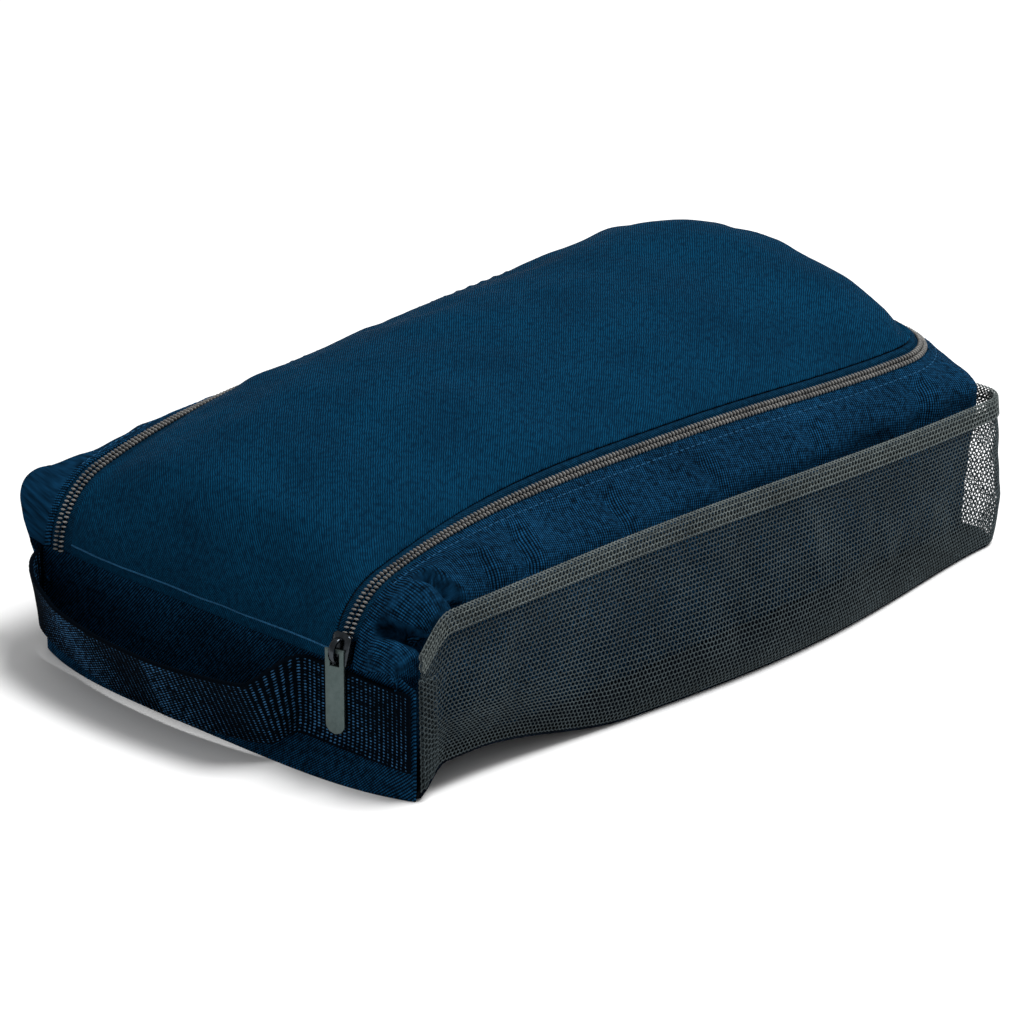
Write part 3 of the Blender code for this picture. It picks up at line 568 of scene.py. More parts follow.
def corner_path(side, y_side, end_y, part):
    """Plan point part of the way along the side line, the far corner and the far line."""
    first = WALL_FAR_X - WALL_CORNER_R - CORNER_X
    arc = WALL_CORNER_R * math.pi / 2
    length = part * (first + arc + abs(y_side - side * WALL_CORNER_R - end_y))
    if length < first:
        return CORNER_X + length, y_side
    if length < first + arc:
        turn = (length - first) / WALL_CORNER_R
        return (WALL_FAR_X - WALL_CORNER_R * (1 - math.sin(turn)),
                y_side - side * WALL_CORNER_R * (1 - math.cos(turn)))
    return WALL_FAR_X, y_side - side * (WALL_CORNER_R + length - first - arc)


def wall_line(side, u, y_side, level):
    """The wall's line at one height, for the station u of the zip line."""
    point = zip_point(side, u)
    if u < 1:
        return np.array([mix(FRONT_X + 3.2, RUN_X, u), y_side, level])
    if u < 2:
        return np.array([point[0], y_side, level])
    if u < 3:
        x, y = corner_path(side, y_side, zip_point(side, 3.0)[1], u - 2)
        return np.array([x, y, level])
    return np.array([WALL_FAR_X, point[1], level])


def wall_section(side, u):
    """Points down the wall: over the tape, round the shoulder, down to the base."""
    point, outward, normal = zip_frame(side, u)
    top = point + outward * LAP_END
    level = mix(FRONT_Z - 2.0, SHOULDER_Z, smooth(0.0, 1.0, u))
    shoulder = wall_line(side, u, SHOULDER_SHIFT + side * (HALF_WIDTH - SHOULDER_SHIFT), level)
    shoulder[0] -= 4.2 * (1 - smooth(0.0, 0.5, u))
    foot = wall_line(side, u, side * (HALF_WIDTH - FOOT_INSET), BASE_T + 0.4)
    reach = np.linalg.norm(shoulder - top)
    drop = np.linalg.norm(shoulder - foot)
    down = np.array([0, 0, -1.0])
    edge = mix(*LAP_EDGE, smooth(0.95, 1.15, u))
    lap = [point + outward * w + normal * LAP_RISE for w in np.linspace(edge, LAP_END - 0.4, 5)]
    ts = np.linspace(0, 1, 30)
    upper = bezier((top, top + outward * reach * 0.45, shoulder - down * reach * 0.3, shoulder), ts)
    upper += normal * (LAP_RISE * (1 - smooth(0.0, 0.8, ts)))[:, None]
    lower = bezier((shoulder, shoulder + down * drop * 0.35, foot - down * drop * 0.35, foot), ts[1:])
    return np.concatenate([lap, upper, lower])


def off_seam(grid):
    """0 along the first columns of a grid, which are sewn down, rising to 1 beyond them."""
    return smooth(4, 13, np.arange(grid.shape[1]))[None, :]


def creased(grid, facing, folds):
    """Presses soft folds into a grid: each has two ends, a half width and a depth in millimetres."""
    normal = grid_normals(grid, facing)
    push = np.zeros(grid.shape[:2])
    for a, b, width, depth in folds:
        a, b = np.array(a, float), np.array(b, float)
        t = np.clip(((grid - a) @ (b - a)) / ((b - a) @ (b - a)), 0, 1)
        away = grid - a - t[..., None] * (b - a)
        off = (away * normal).sum(axis=2)
        gap = np.linalg.norm(away - normal * off[..., None], axis=2) + 2 * np.maximum(abs(off) - 12.0, 0)
        # The cloth rises a little along both sides of a fold
        push += depth * (np.exp(-(gap / width) ** 2) - 0.35 * np.exp(-(gap / (2.2 * width)) ** 2))
    return grid + normal * (push * off_seam(grid))[..., None]


def rumpled(grid, facing, depth, wave, seed):
    """Gentle unevenness all over a grid, kept off its edges."""
    normal = grid_normals(grid, facing)
    shift = Vector((seed * 7.3, seed * 3.1, seed * 5.7))
    push = np.array([[noise.fractal(Vector(p) / wave + shift, 0.8, 2.1, 3) for p in row] for row in grid])
    rows, columns = (np.minimum(np.arange(count), np.arange(count)[::-1]) for count in grid.shape[:2])
    keep = smooth(0, 6, rows)[:, None] * smooth(3, 10, columns)[None, :]
    return grid + normal * (push * depth * keep)[..., None]


# Polyester twill, dyed navy: matt, with a diagonal rib cut by its weft. The rib is drawn at 1.1 mm,
# coarser than life, so that it shows
body_twill = woven("polyester_twill_navy", "#01070F", "#154D75", 1.1, math.radians(45), 1.1, 0.55, 0.25,
                   low=0.08)

# Spun polyester thread: a lighter navy than the cloth, with a dull shine
DULL = {"Specular IOR Level": 0.1}
thread = grained("polyester_sewing_thread", "#0C2F4A", "#256088", 1.5, 2.0, 0.6, DULL)


def on_surface(tree, points):
    """The nearest places on a surface, with their normals, in millimetres."""
    found = [tree.find_nearest(Vector(p)) for p in points]
    return [(np.array(place), np.array(normal)) for place, normal, _, _ in found]


def surface_tree(grid, facing):
    """A search tree over a grid's faces, wound so that its normals face out."""
    normal = np.cross(np.gradient(grid, axis=0), np.gradient(grid, axis=1)).mean(axis=(0, 1))
    turned = (normal * np.array(facing)).sum() < 0
    faces = [(b, c, d, a) if turned else (a, d, c, b) for a, b, c, d in quads(*grid.shape[:2])]
    return BVHTree.FromPolygons([tuple(p) for p in grid.reshape(-1, 3)], faces)


STITCH = dict(Spacing=3.2 * MM, Length=2.3 * MM, Width=0.55 * MM, Height=0.5 * MM, Slant=0.0)
# Creases as two ends, half width and depth: they fan out from the slider and fall from the zip seam
RIGHT_FOLDS = [
    ((-180, -80, 68), (-165, -104, 57), 3.6, -15.0), ((-157, -86, 81), (-151, -105, 66), 3.4, -13.0),
    ((-101, -80, 88), (-107, -100, 73), 5.0, -6.0), ((-49, -84, 86), (-51, -99, 74), 5.0, -3.6),
    ((5, -89, 84), (8, -99, 74), 5.0, -3.0), ((142, -90, 83), (133, -103, 58), 6.5, -5.0),
    ((-128, -90, 82), (-131, -104, 67), 3.4, -4.0), ((-184, -84, 57), (-173, -103, 46), 5.0, 4.0),
    ((-172, -82, 75), (-158, -103, 67), 4.5, 3.0), ((70, -92, 82), (66, -102, 68), 6.0, -3.0)]
LEFT_FOLDS = [((-180, 103, 66), (-166, 110, 58), 5.5, -2.5), ((-120, 100, 86), (-116, 112, 72), 5.0, -4.0),
              ((-30, 100, 90), (-34, 110, 76), 6.0, -3.0), ((80, 94, 98), (84, 106, 78), 7.0, -3.0)]
# Where the cloth stands out: centre, radius and push
PUFFS = {RIGHT: [((-181, -93, 52), 11.0, (-3.0, -2.0, 5.0)), ((-166, -93, 74), 11.0, (-1.5, -2.0, 2.5))],
         LEFT: [((-172, 108, 62), 24.0, (-5.0, 8.0, 2.0)), ((-182, 116, 62), 16.0, (-1.0, 3.0, 8.0))]}


def puffed(grid, puffs, free):
    """Pushes soft swellings out of a grid, as far as each point is free to move."""
    for centre, radius, push in puffs:
        near = np.exp(-(np.linalg.norm(grid - np.array(centre), axis=2) / radius) ** 2) * free
        grid = grid + near[..., None] * np.array(push)
    return grid


wall_marks = zip_stations(U_WALL, U_SEAM)
far_line = round_stations(U_SEAM + 0.004)
walls = {}
for side, word, folds in ((RIGHT, "right", RIGHT_FOLDS), (LEFT, "left", LEFT_FOLDS)):
    grid = np.array([wall_section(side, u) for u in wall_marks])
    full = rumpled(puffed(grid, PUFFS[side], off_seam(grid)), (0, side, 0), 2.2, 40.0, 3 + side)
    stitched = [(side, u) for u in wall_marks if u > 0.9]
    walls["gusset_" + word] = (creased(full, (0, side, 0), folds), grid, (0, side, 0), stitched)
far_grid = np.array([wall_section(side, u) for side, u in far_line])
walls["far_end_panel"] = (rumpled(far_grid, (1, 0, 0), 2.0, 45.0, 8), far_grid, (1, 0, 0), far_line)
WALL_BIAS = math.radians(-57)
for word, (grid, unfolded, facing_to, stitched) in walls.items():
    piece = sewn_panel(word + "_cloth", grid, WALL_T, facing_to, body_twill, bias=WALL_BIAS,
                       unfolded=unfolded)
    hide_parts(word)
    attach(piece, "bag")
    line = [point + outward * ZIP_STITCH + normal for point, outward, normal in zip_frames(stitched)]
    seam_path = path_mesh(on_surface(surface_tree(grid, facing_to), line))
    seam = grown(word + "_zip_stitches", seam_path, row_tree, thread, **STITCH)
    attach(seam, "bag")


# Front: an upright panel of the walls' twill, sewn between the front corners behind the handle. Its
# foot is pushed forward over the base's edge, and its top meets the wall's fold beside the slider.

FRONT_PANEL_T = 1.2
front_ys = np.linspace(-HALF_WIDTH, HALF_WIDTH, 110)
front_tops = FRONT_Z + 0.4 + 5.0 * np.exp(-((front_ys + 94.0) / 9.0) ** 2)
front_grid = np.array([[(FRONT_X - front_foot(y, z), y, z) for z in np.linspace(0.7, top, 44)]
                       for y, top in zip(front_ys, front_tops)])
front_grid = rumpled(front_grid, (-1, 0, 0), 1.2, 30.0, 5)
FRONT_BIAS = math.radians(-88)
front = sewn_panel("front_panel_cloth", front_grid, FRONT_PANEL_T, (-1, 0, 0), body_twill, bias=FRONT_BIAS)
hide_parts("front_panel")
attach(front, "bag")


# Lid: one crowned piece of twill that curves down to the hinge seam above the handle. Its edge is turned
# under, lies on the zip's tape and is sewn to it; the seam's stitches are near-black as painted shade of the
# groove beside the zip.

LID_T = 1.1
LID_INSET = 7.1
LID_LIFT = 1.35
LID_SEAM = 6.7
LID_COLUMNS = 84
CROWN_Z = 119.0
LID_POWER = 3.0
LID_FALL = 3.2
LID_FULL_X = FAR_X - 80.0
# Stations evenly spaced in x round the far corner
corner_us = [2 + math.asin(k / 26) / (math.pi / 2) for k in (*range(26), 25.6, 26)]
lid_us = zip_stations(U_WALL, 2.0)[:-1] + corner_us


def lid_edge(side, u):
    point, outward, _ = zip_frame(side, u)
    return point - outward * LID_INSET


lid_ts = -np.cos(np.linspace(0, math.pi, LID_COLUMNS + 1))
far_ends = [mix(lid_edge(RIGHT, 3.0), lid_edge(LEFT, 3.0), (t + 1) / 2) for t in lid_ts]
far_edge = [lid_edge(RIGHT if t < 0 else LEFT, 4.0 - abs(t)) for t in lid_ts]
far_rise = np.array(far_edge) - np.array(far_ends)
last_x = lid_edge(RIGHT, 3.0)[0]
lid_rows = []
for u in lid_us:
    right, left = lid_edge(RIGHT, u), lid_edge(LEFT, u)
    crown = mix(1.5, CROWN_Z - ZIP_MID_Z - LID_INSET * math.sin(ZIP_TILT), smooth(0.0, 1.5, u))
    crown *= 1 - np.clip((right[0] - LID_FULL_X) / (last_x - LID_FULL_X), 0, 1) ** LID_FALL
    lift = crown * (1 - abs(lid_ts) ** LID_POWER)
    row = right + (left - right) * ((lid_ts + 1) / 2)[:, None] + lift[:, None] * level_normal(u)
    lid_rows.append(row + far_rise * smooth(1.4, 3.0, u))
lid_grid = np.array(lid_rows)
edge_line = np.concatenate([lid_grid[:, 0], lid_grid[-1], lid_grid[::-1, -1], lid_grid[0]])
gap = np.min(np.linalg.norm(lid_grid[:, :, None, :] - edge_line[None, None, ::3, :], axis=3), axis=2)
lid_plain = lid_grid
LID_PUFFS = [((128, 60, 108), 42.0, (2.0, 1.0, 2.5)), ((160, 15, 106), 38.0, (2.0, 0.0, 3.5)),
             ((158, -38, 100), 32.0, (2.0, -1.0, 3.5))]
lid_grid = puffed(lid_grid, LID_PUFFS, smooth(2.0, 13.0, gap))
lid_grid = rumpled(lid_grid, (0, 0, 1), 2.6, 60.0, 2)
roll = LID_LIFT * (1 - smooth(2.0, 26.0, gap)) + 0.5 * np.exp(-((gap - 0.9) / 0.8) ** 2)
roll = roll * smooth(0.1, 0.5, np.array(lid_us))[:, None]
lid_grid += grid_normals(lid_grid, (0, 0, 1)) * roll[..., None]

# Polyester twill of the lid: teal navy, matt, with a wavering unbroken rib drawn at 0.95 mm
lid_twill = woven("polyester_twill_teal_navy", "#021729", "#043C5A", 0.95, math.radians(46), 5.5, 0.0, 0.2,
                  waver=3.0)
lid = sewn_panel("lid_panel_cloth", lid_grid, LID_T, (0, 0, 1), lid_twill, unfolded=lid_plain)
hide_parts("lid_panel")
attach(lid, "lid")
lid_up = grid_normals(lid_grid, (0, 0, 1))
# Seam stitches at the lid's edge: they lie in a groove beside the zip, and their near-black colour is painted
# shade of that groove, so they read as a dark line
groove_shade_thread = grained("polyester_thread_painted_groove_shade", "#010509", "#04121E", 1.5, 2.0, 0.6, DULL)
LID_STITCH = dict(Spacing=2.6 * MM, Length=2.9 * MM, Width=0.9 * MM, Height=0.6 * MM, Slant=0.0)
# Stitches coloured with the painted shade of the groove
lid_seam_path = path_mesh([(p - d * LID_SEAM, n) for p, d, n in zip_frames(lid_line)])
lid_seam = grown("lid_stitches", lid_seam_path, row_tree, groove_shade_thread, **LID_STITCH)
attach(lid_seam, "lid")


def lofted(*solids):
    """Points and faces of closed solids, each a list of rings with the same number of points."""
    points, faces = [], []
    for rings in solids:
        first, size = len(points), len(rings[0])
        for ring in rings:
            points += [np.array(p, float) for p in ring]
        for k in range(len(rings) - 1):
            for j in range(size):
                a, b = first + k * size + j, first + k * size + (j + 1) % size
                faces.append((a, b, b + size, a + size))
        faces.append(tuple(range(first, first + size)))
        faces.append(tuple(range(len(points) - size, len(points))))
    return points, faces


def cord_rings(path, normals, radius):
    """Rings of eight points round a cord along a path."""
    rings = []
    for place, ahead, up in zip(path, np.gradient(path, axis=0), normals):
        across = unit(np.cross(ahead, up))
        rings.append([place + radius * (math.cos(t) * up + math.sin(t) * across)
                      for t in np.linspace(0, 2 * math.pi, 8, endpoint=False)])
    return rings


# Piping of the hinge seam: a thin cord in the walls' thread, paler than the lid's cloth
hinge_path = lid_grid[4, 2:-2]
hinge_up = lid_up[4, 2:-2]
hinge_rings = cord_rings(hinge_path + hinge_up * 0.1, hinge_up, 0.42)
piping = plain_mesh("hinge_seam_piping", *lofted(hinge_rings), thread)
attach(piping, "lid")


# Handle: one length of ribbed webbing. It is sewn flat to the front at the right, stands out in a
# drooping loop across the middle and is caught in the left corner seam.

WEB_W = 34.0
WEB_T = 1.8
WEB_Z = 29.5
LOOP_DROOP = math.radians(25.0)
# Out from the front and across, from the right corner round the loop to the left corner
WEB_PATH = [(0, -107), (0, -90), (0, -70), (0, -55), (0.3, -50), (2.5, -47), (9, -45), (15, -42), (19, -35),
            (22, -18), (24.2, 3), (24.6, 20), (23.3, 45), (20.4, 65), (16.8, 80), (12.0, 95), (7.0, 104),
            (2.0, 108.5), (-1.5, 109.5)]
RIB_PITCH = 2.5
RIB_RISE = 0.16


def web_path():
    """The webbing's line as (out from the front, across), closely stepped along its length."""
    ends = [WEB_PATH[0]] + WEB_PATH + [WEB_PATH[-1]]
    line = []
    for a, b, c, d in zip(ends, ends[1:], ends[2:], ends[3:]):
        a, b, c, d = (np.array(q, float) for q in (a, b, c, d))
        for t in np.linspace(0, 1, 40)[:-1]:
            line.append(0.5 * (2 * b + (c - a) * t + (2 * a - 5 * b + 4 * c - d) * t * t
                               + (3 * b - a - 3 * c + d) * t ** 3))
    line = np.array(line + [np.array(WEB_PATH[-1], float)])
    run = np.concatenate([[0], np.cumsum(np.linalg.norm(np.diff(line, axis=0), axis=1))])
    places = np.linspace(0, run[-1], int(run[-1] / RIB_PITCH * 8) + 1)
    return np.stack([np.interp(places, run, line[:, k]) for k in (0, 1)], axis=1), places


def web_point(out, y, h):
    """A point of the webbing's outer face; h runs up its width."""
    droop = LOOP_DROOP * min(1.0, max(out, 0) / 18.0)
    x = FRONT_X - 2.4 - out * math.cos(droop) - h * math.sin(droop)
    flat = -front_foot(y, WEB_Z + h) * (1 - min(1.0, max(out, 0) / 12.0))
    return x + flat, y, WEB_Z + h * math.cos(droop) - out * math.sin(droop)


# Woven polypropylene webbing: near-black navy, with raised cross ribs and a row of blue dots along
# each rib where yarns cross
webbing = woven("woven_polypropylene_webbing", "#01050B", "#376791", RIB_PITCH, 0.0, 1.35, 0.95, 0.35,
                low=0.36, waver=0.4)
web_hs = -np.cos(np.linspace(0, math.pi, 15)) * (WEB_W - WEB_T) / 2
web_line, web_places = web_path()
web_grid = np.array([[web_point(out, y, h) for h in web_hs] for out, y in web_line])
rib_waves = np.sin(2 * math.pi * web_places / RIB_PITCH)[:, None]
ribs = RIB_RISE * rib_waves * smooth(1.0, 0.9, abs(web_hs) / WEB_W * 2)[None, :]
web_grid = web_grid + grid_normals(web_grid, (-1, 0, 0)) * ribs[..., None]
middle = int(np.argmax(web_line[:, 0]))
for name, grid, nodes, turn in (
        ("handle_webbing_right", web_grid[:middle + 1], ("handle_patch_right", "handle_loop"),
         (-53.0, -25.0)),
        ("handle_webbing_left", web_grid[middle:], ("handle_root_left",), (108.0, 75.0))):
    piece = sewn_panel(name, grid, WEB_T, (-1, 0, 0), webbing)
    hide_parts(*nodes)
    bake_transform(piece)


# Pockets: polyester net sewn to the base and up the far end, its open top edge and its front edge
# folded double. The net stands out as if the pocket were filled.

HEM_HALF = HALF_WIDTH + 4.8
HEM_Z = 76.0
HEM_W = 9.0
HEM_FALL = 7.0
HEM_FRONT_DROP = 20.0
HEM_LEFT_DROP = 6.0
EDGE_W = 8.4
POCKET_CORNER_R = 12.0
POCKET_BULGE = 6.0
POCKET_FRONT = FRONT_X + 2.8
POCKET_FAR = FAR_X + 0.6
POCKET_LOW = 2.4
NET_PITCH = 1.98
STRAND = 0.7


def hem_level(side, x):
    """Height of the pocket's open edge, which falls to the far end and at the front corner."""
    fall = HEM_FALL * smooth(FRONT_X + 100, FAR_X - 30, x)
    fall += HEM_FRONT_DROP * smooth(FRONT_X + 20, FRONT_X - 6, x)
    return HEM_Z - fall - (HEM_LEFT_DROP if side == LEFT else 0.0)


def pocket_plan(side, k, y_of):
    """Plan point k along the pocket: 0 to 1 the side, to 2 the corner, to 3 the far end."""
    turn_x = POCKET_FAR - POCKET_CORNER_R
    if k <= 1:
        x = mix(POCKET_FRONT, turn_x, k)
        return x, y_of(x)
    y = y_of(turn_x)
    if k <= 2:
        turn = (k - 1) * math.pi / 2
        return turn_x + POCKET_CORNER_R * math.sin(turn), y - side * POCKET_CORNER_R * (1 - math.cos(turn))
    return POCKET_FAR, mix(y - side * POCKET_CORNER_R, side * (HALF_WIDTH - 22.0), k - 2)


def pocket_point(side, k, z, out=0.0):
    """A point of the net at height z, or out beyond it."""
    foot = pocket_plan(side, k, lambda x: base_edge(side, x) + side * 1.6)
    head = pocket_plan(side, k, lambda x: 4.0 + side * HEM_HALF)
    top = hem_level(side, foot[0])
    round_corner = 0.4 * smooth(0.75, 1.0, k) * smooth(2.7, 2.0, k)
    bulge = POCKET_BULGE * (math.sin(math.pi * min(k, 1.0)) + round_corner)
    turn = min(max(k - 1, 0.0), 1.0) * math.pi / 2
    t = (z - POCKET_LOW) / (top - POCKET_LOW)
    out = out + bulge * math.sin(math.pi * np.clip(t, 0, 1) ** 0.7)
    ease = smooth(0, 1, t)
    curl = base_curl(foot[0]) * smooth(0.5, 0.0, t)
    return np.array([mix(foot[0], head[0], ease) + math.sin(turn) * out,
                     mix(foot[1], head[1], ease) + side * math.cos(turn) * out, z + curl])


# Net tree: hexagons of one pitch laid on a surface by its map, ready to be made into strands
net_tree, start = new_tree("hexagon_net", "Wide", "High", "Pitch")
row_step = add(net_tree, "ShaderNodeMath", {0: start["Pitch"], 1: math.sqrt(3) / 2}, operation="MULTIPLY")
across = add(net_tree, "ShaderNodeMath", {0: start["Wide"], 1: start["Pitch"]}, operation="DIVIDE")
upward = add(net_tree, "ShaderNodeMath", {0: start["High"], 1: row_step}, operation="DIVIDE")
lattice = add(net_tree, "GeometryNodeMeshGrid", {"Size X": start["Wide"], "Size Y": start["High"],
                                                 "Vertices X": across, "Vertices Y": upward})
spot = add(net_tree, "GeometryNodeInputPosition")
place = add(net_tree, "ShaderNodeSeparateXYZ", {"Vector": spot}).outputs
# Every other row moves along by half a pitch
rise = add(net_tree, "ShaderNodeMath", {0: start["High"], 1: 0.5, 2: place["Y"]}, operation="MULTIPLY_ADD")
gaps = add(net_tree, "ShaderNodeMath", {0: upward, 1: 1.0}, operation="SUBTRACT")
whole = add(net_tree, "ShaderNodeMath", {0: gaps}, operation="FLOOR")
share = add(net_tree, "ShaderNodeMath", {0: rise, 1: start["High"]}, operation="DIVIDE")
count = add(net_tree, "ShaderNodeMath", {0: share, 1: whole}, operation="MULTIPLY")
row = add(net_tree, "ShaderNodeMath", {0: count}, operation="ROUND")
odd = add(net_tree, "ShaderNodeMath", {0: row, 1: 2.0}, operation="FLOORED_MODULO")
half = add(net_tree, "ShaderNodeMath", {0: start["Pitch"], 1: 0.5}, operation="MULTIPLY")
shift = add(net_tree, "ShaderNodeMath", {0: odd, 1: half}, operation="MULTIPLY")
offset = add(net_tree, "ShaderNodeCombineXYZ", {"X": shift})
staggered = add(net_tree, "GeometryNodeSetPosition", {"Geometry": lattice, "Offset": offset})
cut = add(net_tree, "GeometryNodeTriangulate", {"Mesh": staggered}, quad_method="SHORTEST_DIAGONAL")
cells = add(net_tree, "GeometryNodeDualMesh", {"Mesh": cut})
sample_x = add(net_tree, "ShaderNodeMath", {0: place["X"], 1: start["Wide"]}, operation="DIVIDE")
sample_y = add(net_tree, "ShaderNodeMath", {0: place["Y"], 1: start["High"]}, operation="DIVIDE")
sample = add(net_tree, "ShaderNodeCombineXYZ", {"X": sample_x, "Y": sample_y})
centred = add(net_tree, "ShaderNodeVectorMath", {0: sample, 1: (0.5, 0.5, 0.0)}, operation="ADD")
chart = add(net_tree, "GeometryNodeInputNamedAttribute", {"Name": "span"}, data_type="FLOAT_VECTOR")
laid = add(net_tree, "GeometryNodeSampleUVSurface",
           {"Mesh": start["Geometry"], "Value": spot, "UV Map": chart, "Sample UV": centred},
           data_type="FLOAT_VECTOR")
wrong = add(net_tree, "FunctionNodeBooleanMath", {0: laid.outputs["Is Valid"]}, operation="NOT")
trimmed = add(net_tree, "GeometryNodeDeleteGeometry", {"Geometry": cells, "Selection": wrong})
draped = add(net_tree, "GeometryNodeSetPosition", {"Geometry": trimmed, "Position": laid.outputs["Value"]})
real = add(net_tree, "GeometryNodeRealizeInstances", {"Geometry": draped})
looked = add(net_tree, "GeometryNodeSetMaterial", {"Geometry": real, "Material": start["Material"]})
add(net_tree, "NodeGroupOutput", {"Geometry": looked})


def net_surface(grid):
    """A surface mesh with a map from 0 to 1 both ways, for the net to lie on, and its two lengths."""
    mesh = bpy.data.meshes.new("net_surface")
    mesh.from_pydata([tuple(p) for p in grid.reshape(-1, 3) * MM], [], quads(*grid.shape[:2]))
    steps = [np.linalg.norm(np.diff(grid, axis=k), axis=2).mean(axis=1 - k) for k in (0, 1)]
    run, climb = (np.concatenate([[0], np.cumsum(step)]) for step in steps)
    spots = np.stack(np.meshgrid(run / run[-1], climb / climb[-1], indexing="ij"), axis=2).reshape(-1, 2)
    write_map(mesh, "span", spots)
    return mesh, run[-1] * MM, climb[-1] * MM


def strands(holder):
    """Makes each edge of the net a strand."""
    strand = holder.modifiers.new("strands", "WIREFRAME")
    strand.thickness = STRAND * MM
    strand.use_even_offset = False
    strand.use_boundary = True
    strand.use_replace = True


def netting(name, grid, look):
    """A net over a grid of points, with its flat width and height in metres."""
    surface, wide, high = net_surface(grid)
    piece = grown(name, surface, net_tree, look, finish=strands, Wide=wide, High=high, Pitch=NET_PITCH * MM)
    piece.data.polygons.foreach_set("use_smooth", np.ones(len(piece.data.polygons), bool))
    return piece, wide, high


def yarn(name, dark, light):
    """Fuzzy fibres between two colours, clouded a little over the piece."""
    look, tree, shader = new_look(name)
    place = add(tree, "ShaderNodeTexCoord").outputs["Object"]
    fibre = add(tree, "ShaderNodeTexNoise", {"Vector": place, "Scale": 1 / (0.9 * MM), "Detail": 3.0})
    cloud = add(tree, "ShaderNodeTexNoise", {"Vector": place, "Scale": 1 / (30 * MM), "Detail": 2.0})
    even = add(tree, "ShaderNodeMapRange", {"Value": cloud.outputs["Fac"], "From Min": 0.3, "From Max": 0.7,
                                            "To Min": 0.42, "To Max": 0.58})
    mixed = add(tree, "ShaderNodeMath", {0: even, 1: fibre.outputs["Fac"]}, operation="MULTIPLY")
    colour = add(tree, "ShaderNodeValToRGB", {"Fac": mixed}, stops=((0.12, dark), (0.42, light)))
    fuzz = add(tree, "ShaderNodeBump", {"Height": fibre.outputs["Fac"], "Strength": 0.6,
                                        "Distance": 0.15 * MM})
    wire(tree, shader, {"Base Color": colour, "Normal": fuzz, "Roughness": 0.65, "Specular IOR Level": 0.2})
    return look


# Knitted polyester net: dark grey-green multifilament strands, fuzzy and uneven
net_yarn = yarn("knitted_polyester_net", "#151C1E", "#4D595D")
# The same net folded double, in paler colours: painted light, for the light that the doubled strands catch
hem_yarn_painted_light = yarn("knitted_polyester_net_doubled_painted_light", "#293032", "#7A8381")

# Bound seam tape: black, close woven, with a dull finish
seam_trim = woven("woven_binding_tape", "#040506", "#121518", 0.9, math.radians(90), 0.9, 0.5, 0.12)
# Sections of the folded net, as distance out and share of the fold's width
HEM_FOLD = ([(1.0, f) for f in np.linspace(0, 1, 8)] + [(0.5, 1.06), (-0.3, 1.06)]
            + [(-0.8, f) for f in np.linspace(1, 0, 8)])
EDGE_FOLD = ([(1.0, f) for f in np.linspace(1, 0, 6)] + [(0.1, -0.08)]
             + [(-0.8, f) for f in np.linspace(0, 1, 6)])
# Section of the binding, as distance out from the base's edge and height
BINDING = ((-0.4, 0.5), (0.5, 0.5), (0.9, 1.2), (0.8, 2.2), (0.4, 3.0))
edge_k = EDGE_W / (POCKET_FAR - POCKET_CORNER_R - POCKET_FRONT)
net_ks = np.concatenate([np.linspace(0, 1, 120)[:-1], np.linspace(1, 2, 14)[:-1], np.linspace(2, 3, 12)])
for side, word in ((RIGHT, "right"), (LEFT, "left")):
    tops = [hem_level(side, pocket_plan(side, k, lambda x: 0.0)[0]) for k in net_ks]
    grid = np.array([[pocket_point(side, k, z) for z in np.linspace(POCKET_LOW - 1.0, top - 0.8, 30)]
                     for k, top in zip(net_ks, tops)])
    grid = rumpled(grid, (0, side, 0), 1.6, 30.0, 11 + side)
    net, wide, high = netting("mesh_pocket_" + word + "_net", grid, net_yarn)
    hem_grid = np.array([[pocket_point(side, k, top - HEM_W * (1 - f), out) for out, f in HEM_FOLD]
                         for k, top in zip(net_ks, tops)])
    # The hem's paler yarn is painted light
    hem, _, _ = netting("pocket_hem_" + word + "_net", hem_grid, hem_yarn_painted_light)
    edge_top = hem_level(side, POCKET_FRONT) - HEM_W
    edge_grid = np.array([[pocket_point(side, edge_k * f, z, out) for out, f in EDGE_FOLD]
                          for z in np.linspace(POCKET_LOW - 1.0, edge_top, 24)])
    edge, _, _ = netting("pocket_edge_" + word + "_net", edge_grid, net_yarn)
    seam_xs = np.linspace(FRONT_X + 1.0, FAR_X - POCKET_CORNER_R, 120)
    seam_grid = np.array([[(x, base_edge(side, x) + side * out, z + base_curl(x)) for out, z in BINDING]
                          for x in seam_xs])
    seam = sewn_panel("base_seam_" + word + "_binding", seam_grid, 0.7, (0, side, 0), seam_trim)
    for piece, node, slot in ((net, "mesh_pocket_", "pocket_mesh"), (hem, "pocket_hem_", "pocket_hem"),
                              (edge, "pocket_edge_", "pocket_hem"), (seam, "base_seam_", "seam_trim")):
        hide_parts(node + word)
        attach(piece, "bag")


# Slider: a die-cast body in two channelled plates round a post, with a bridge over the top plate.
# It is plated, and the tab's bar hangs under the bridge.

SLIDER_HALF = 6.5
SLIDER_AT = 0.7 + SLIDER_HALF
SLIDER_Y = run_side(RIGHT, RUN_X)
PLATE_TOP = 4.2
PLATE_HALF = (4.2, 5.0)
PIN_H = 6.38
# The bridge's section, as share of its thickness from the inside and distance across
BRIDGE = ((0.0, -1.2), (0.0, 1.2), (0.3, 1.6), (0.75, 1.5),
          (1.0, 0.9), (1.0, -0.9), (0.75, -1.5), (0.3, -1.6))
# The post's section, as distance across and height
POST = ((-0.3, -1.3), (0.3, -1.3), (0.3, 2.9), (-0.3, 2.9))


def on_zip(s, w, h):
    """A point s along the dip from its foot, w to the right and h off the tape."""
    phi = (SLIDER_AT + s) / DIP_R
    return (DIP_X - (DIP_R + h) * math.cos(phi), SLIDER_Y - w, FRONT_Z + (DIP_R + h) * math.sin(phi))


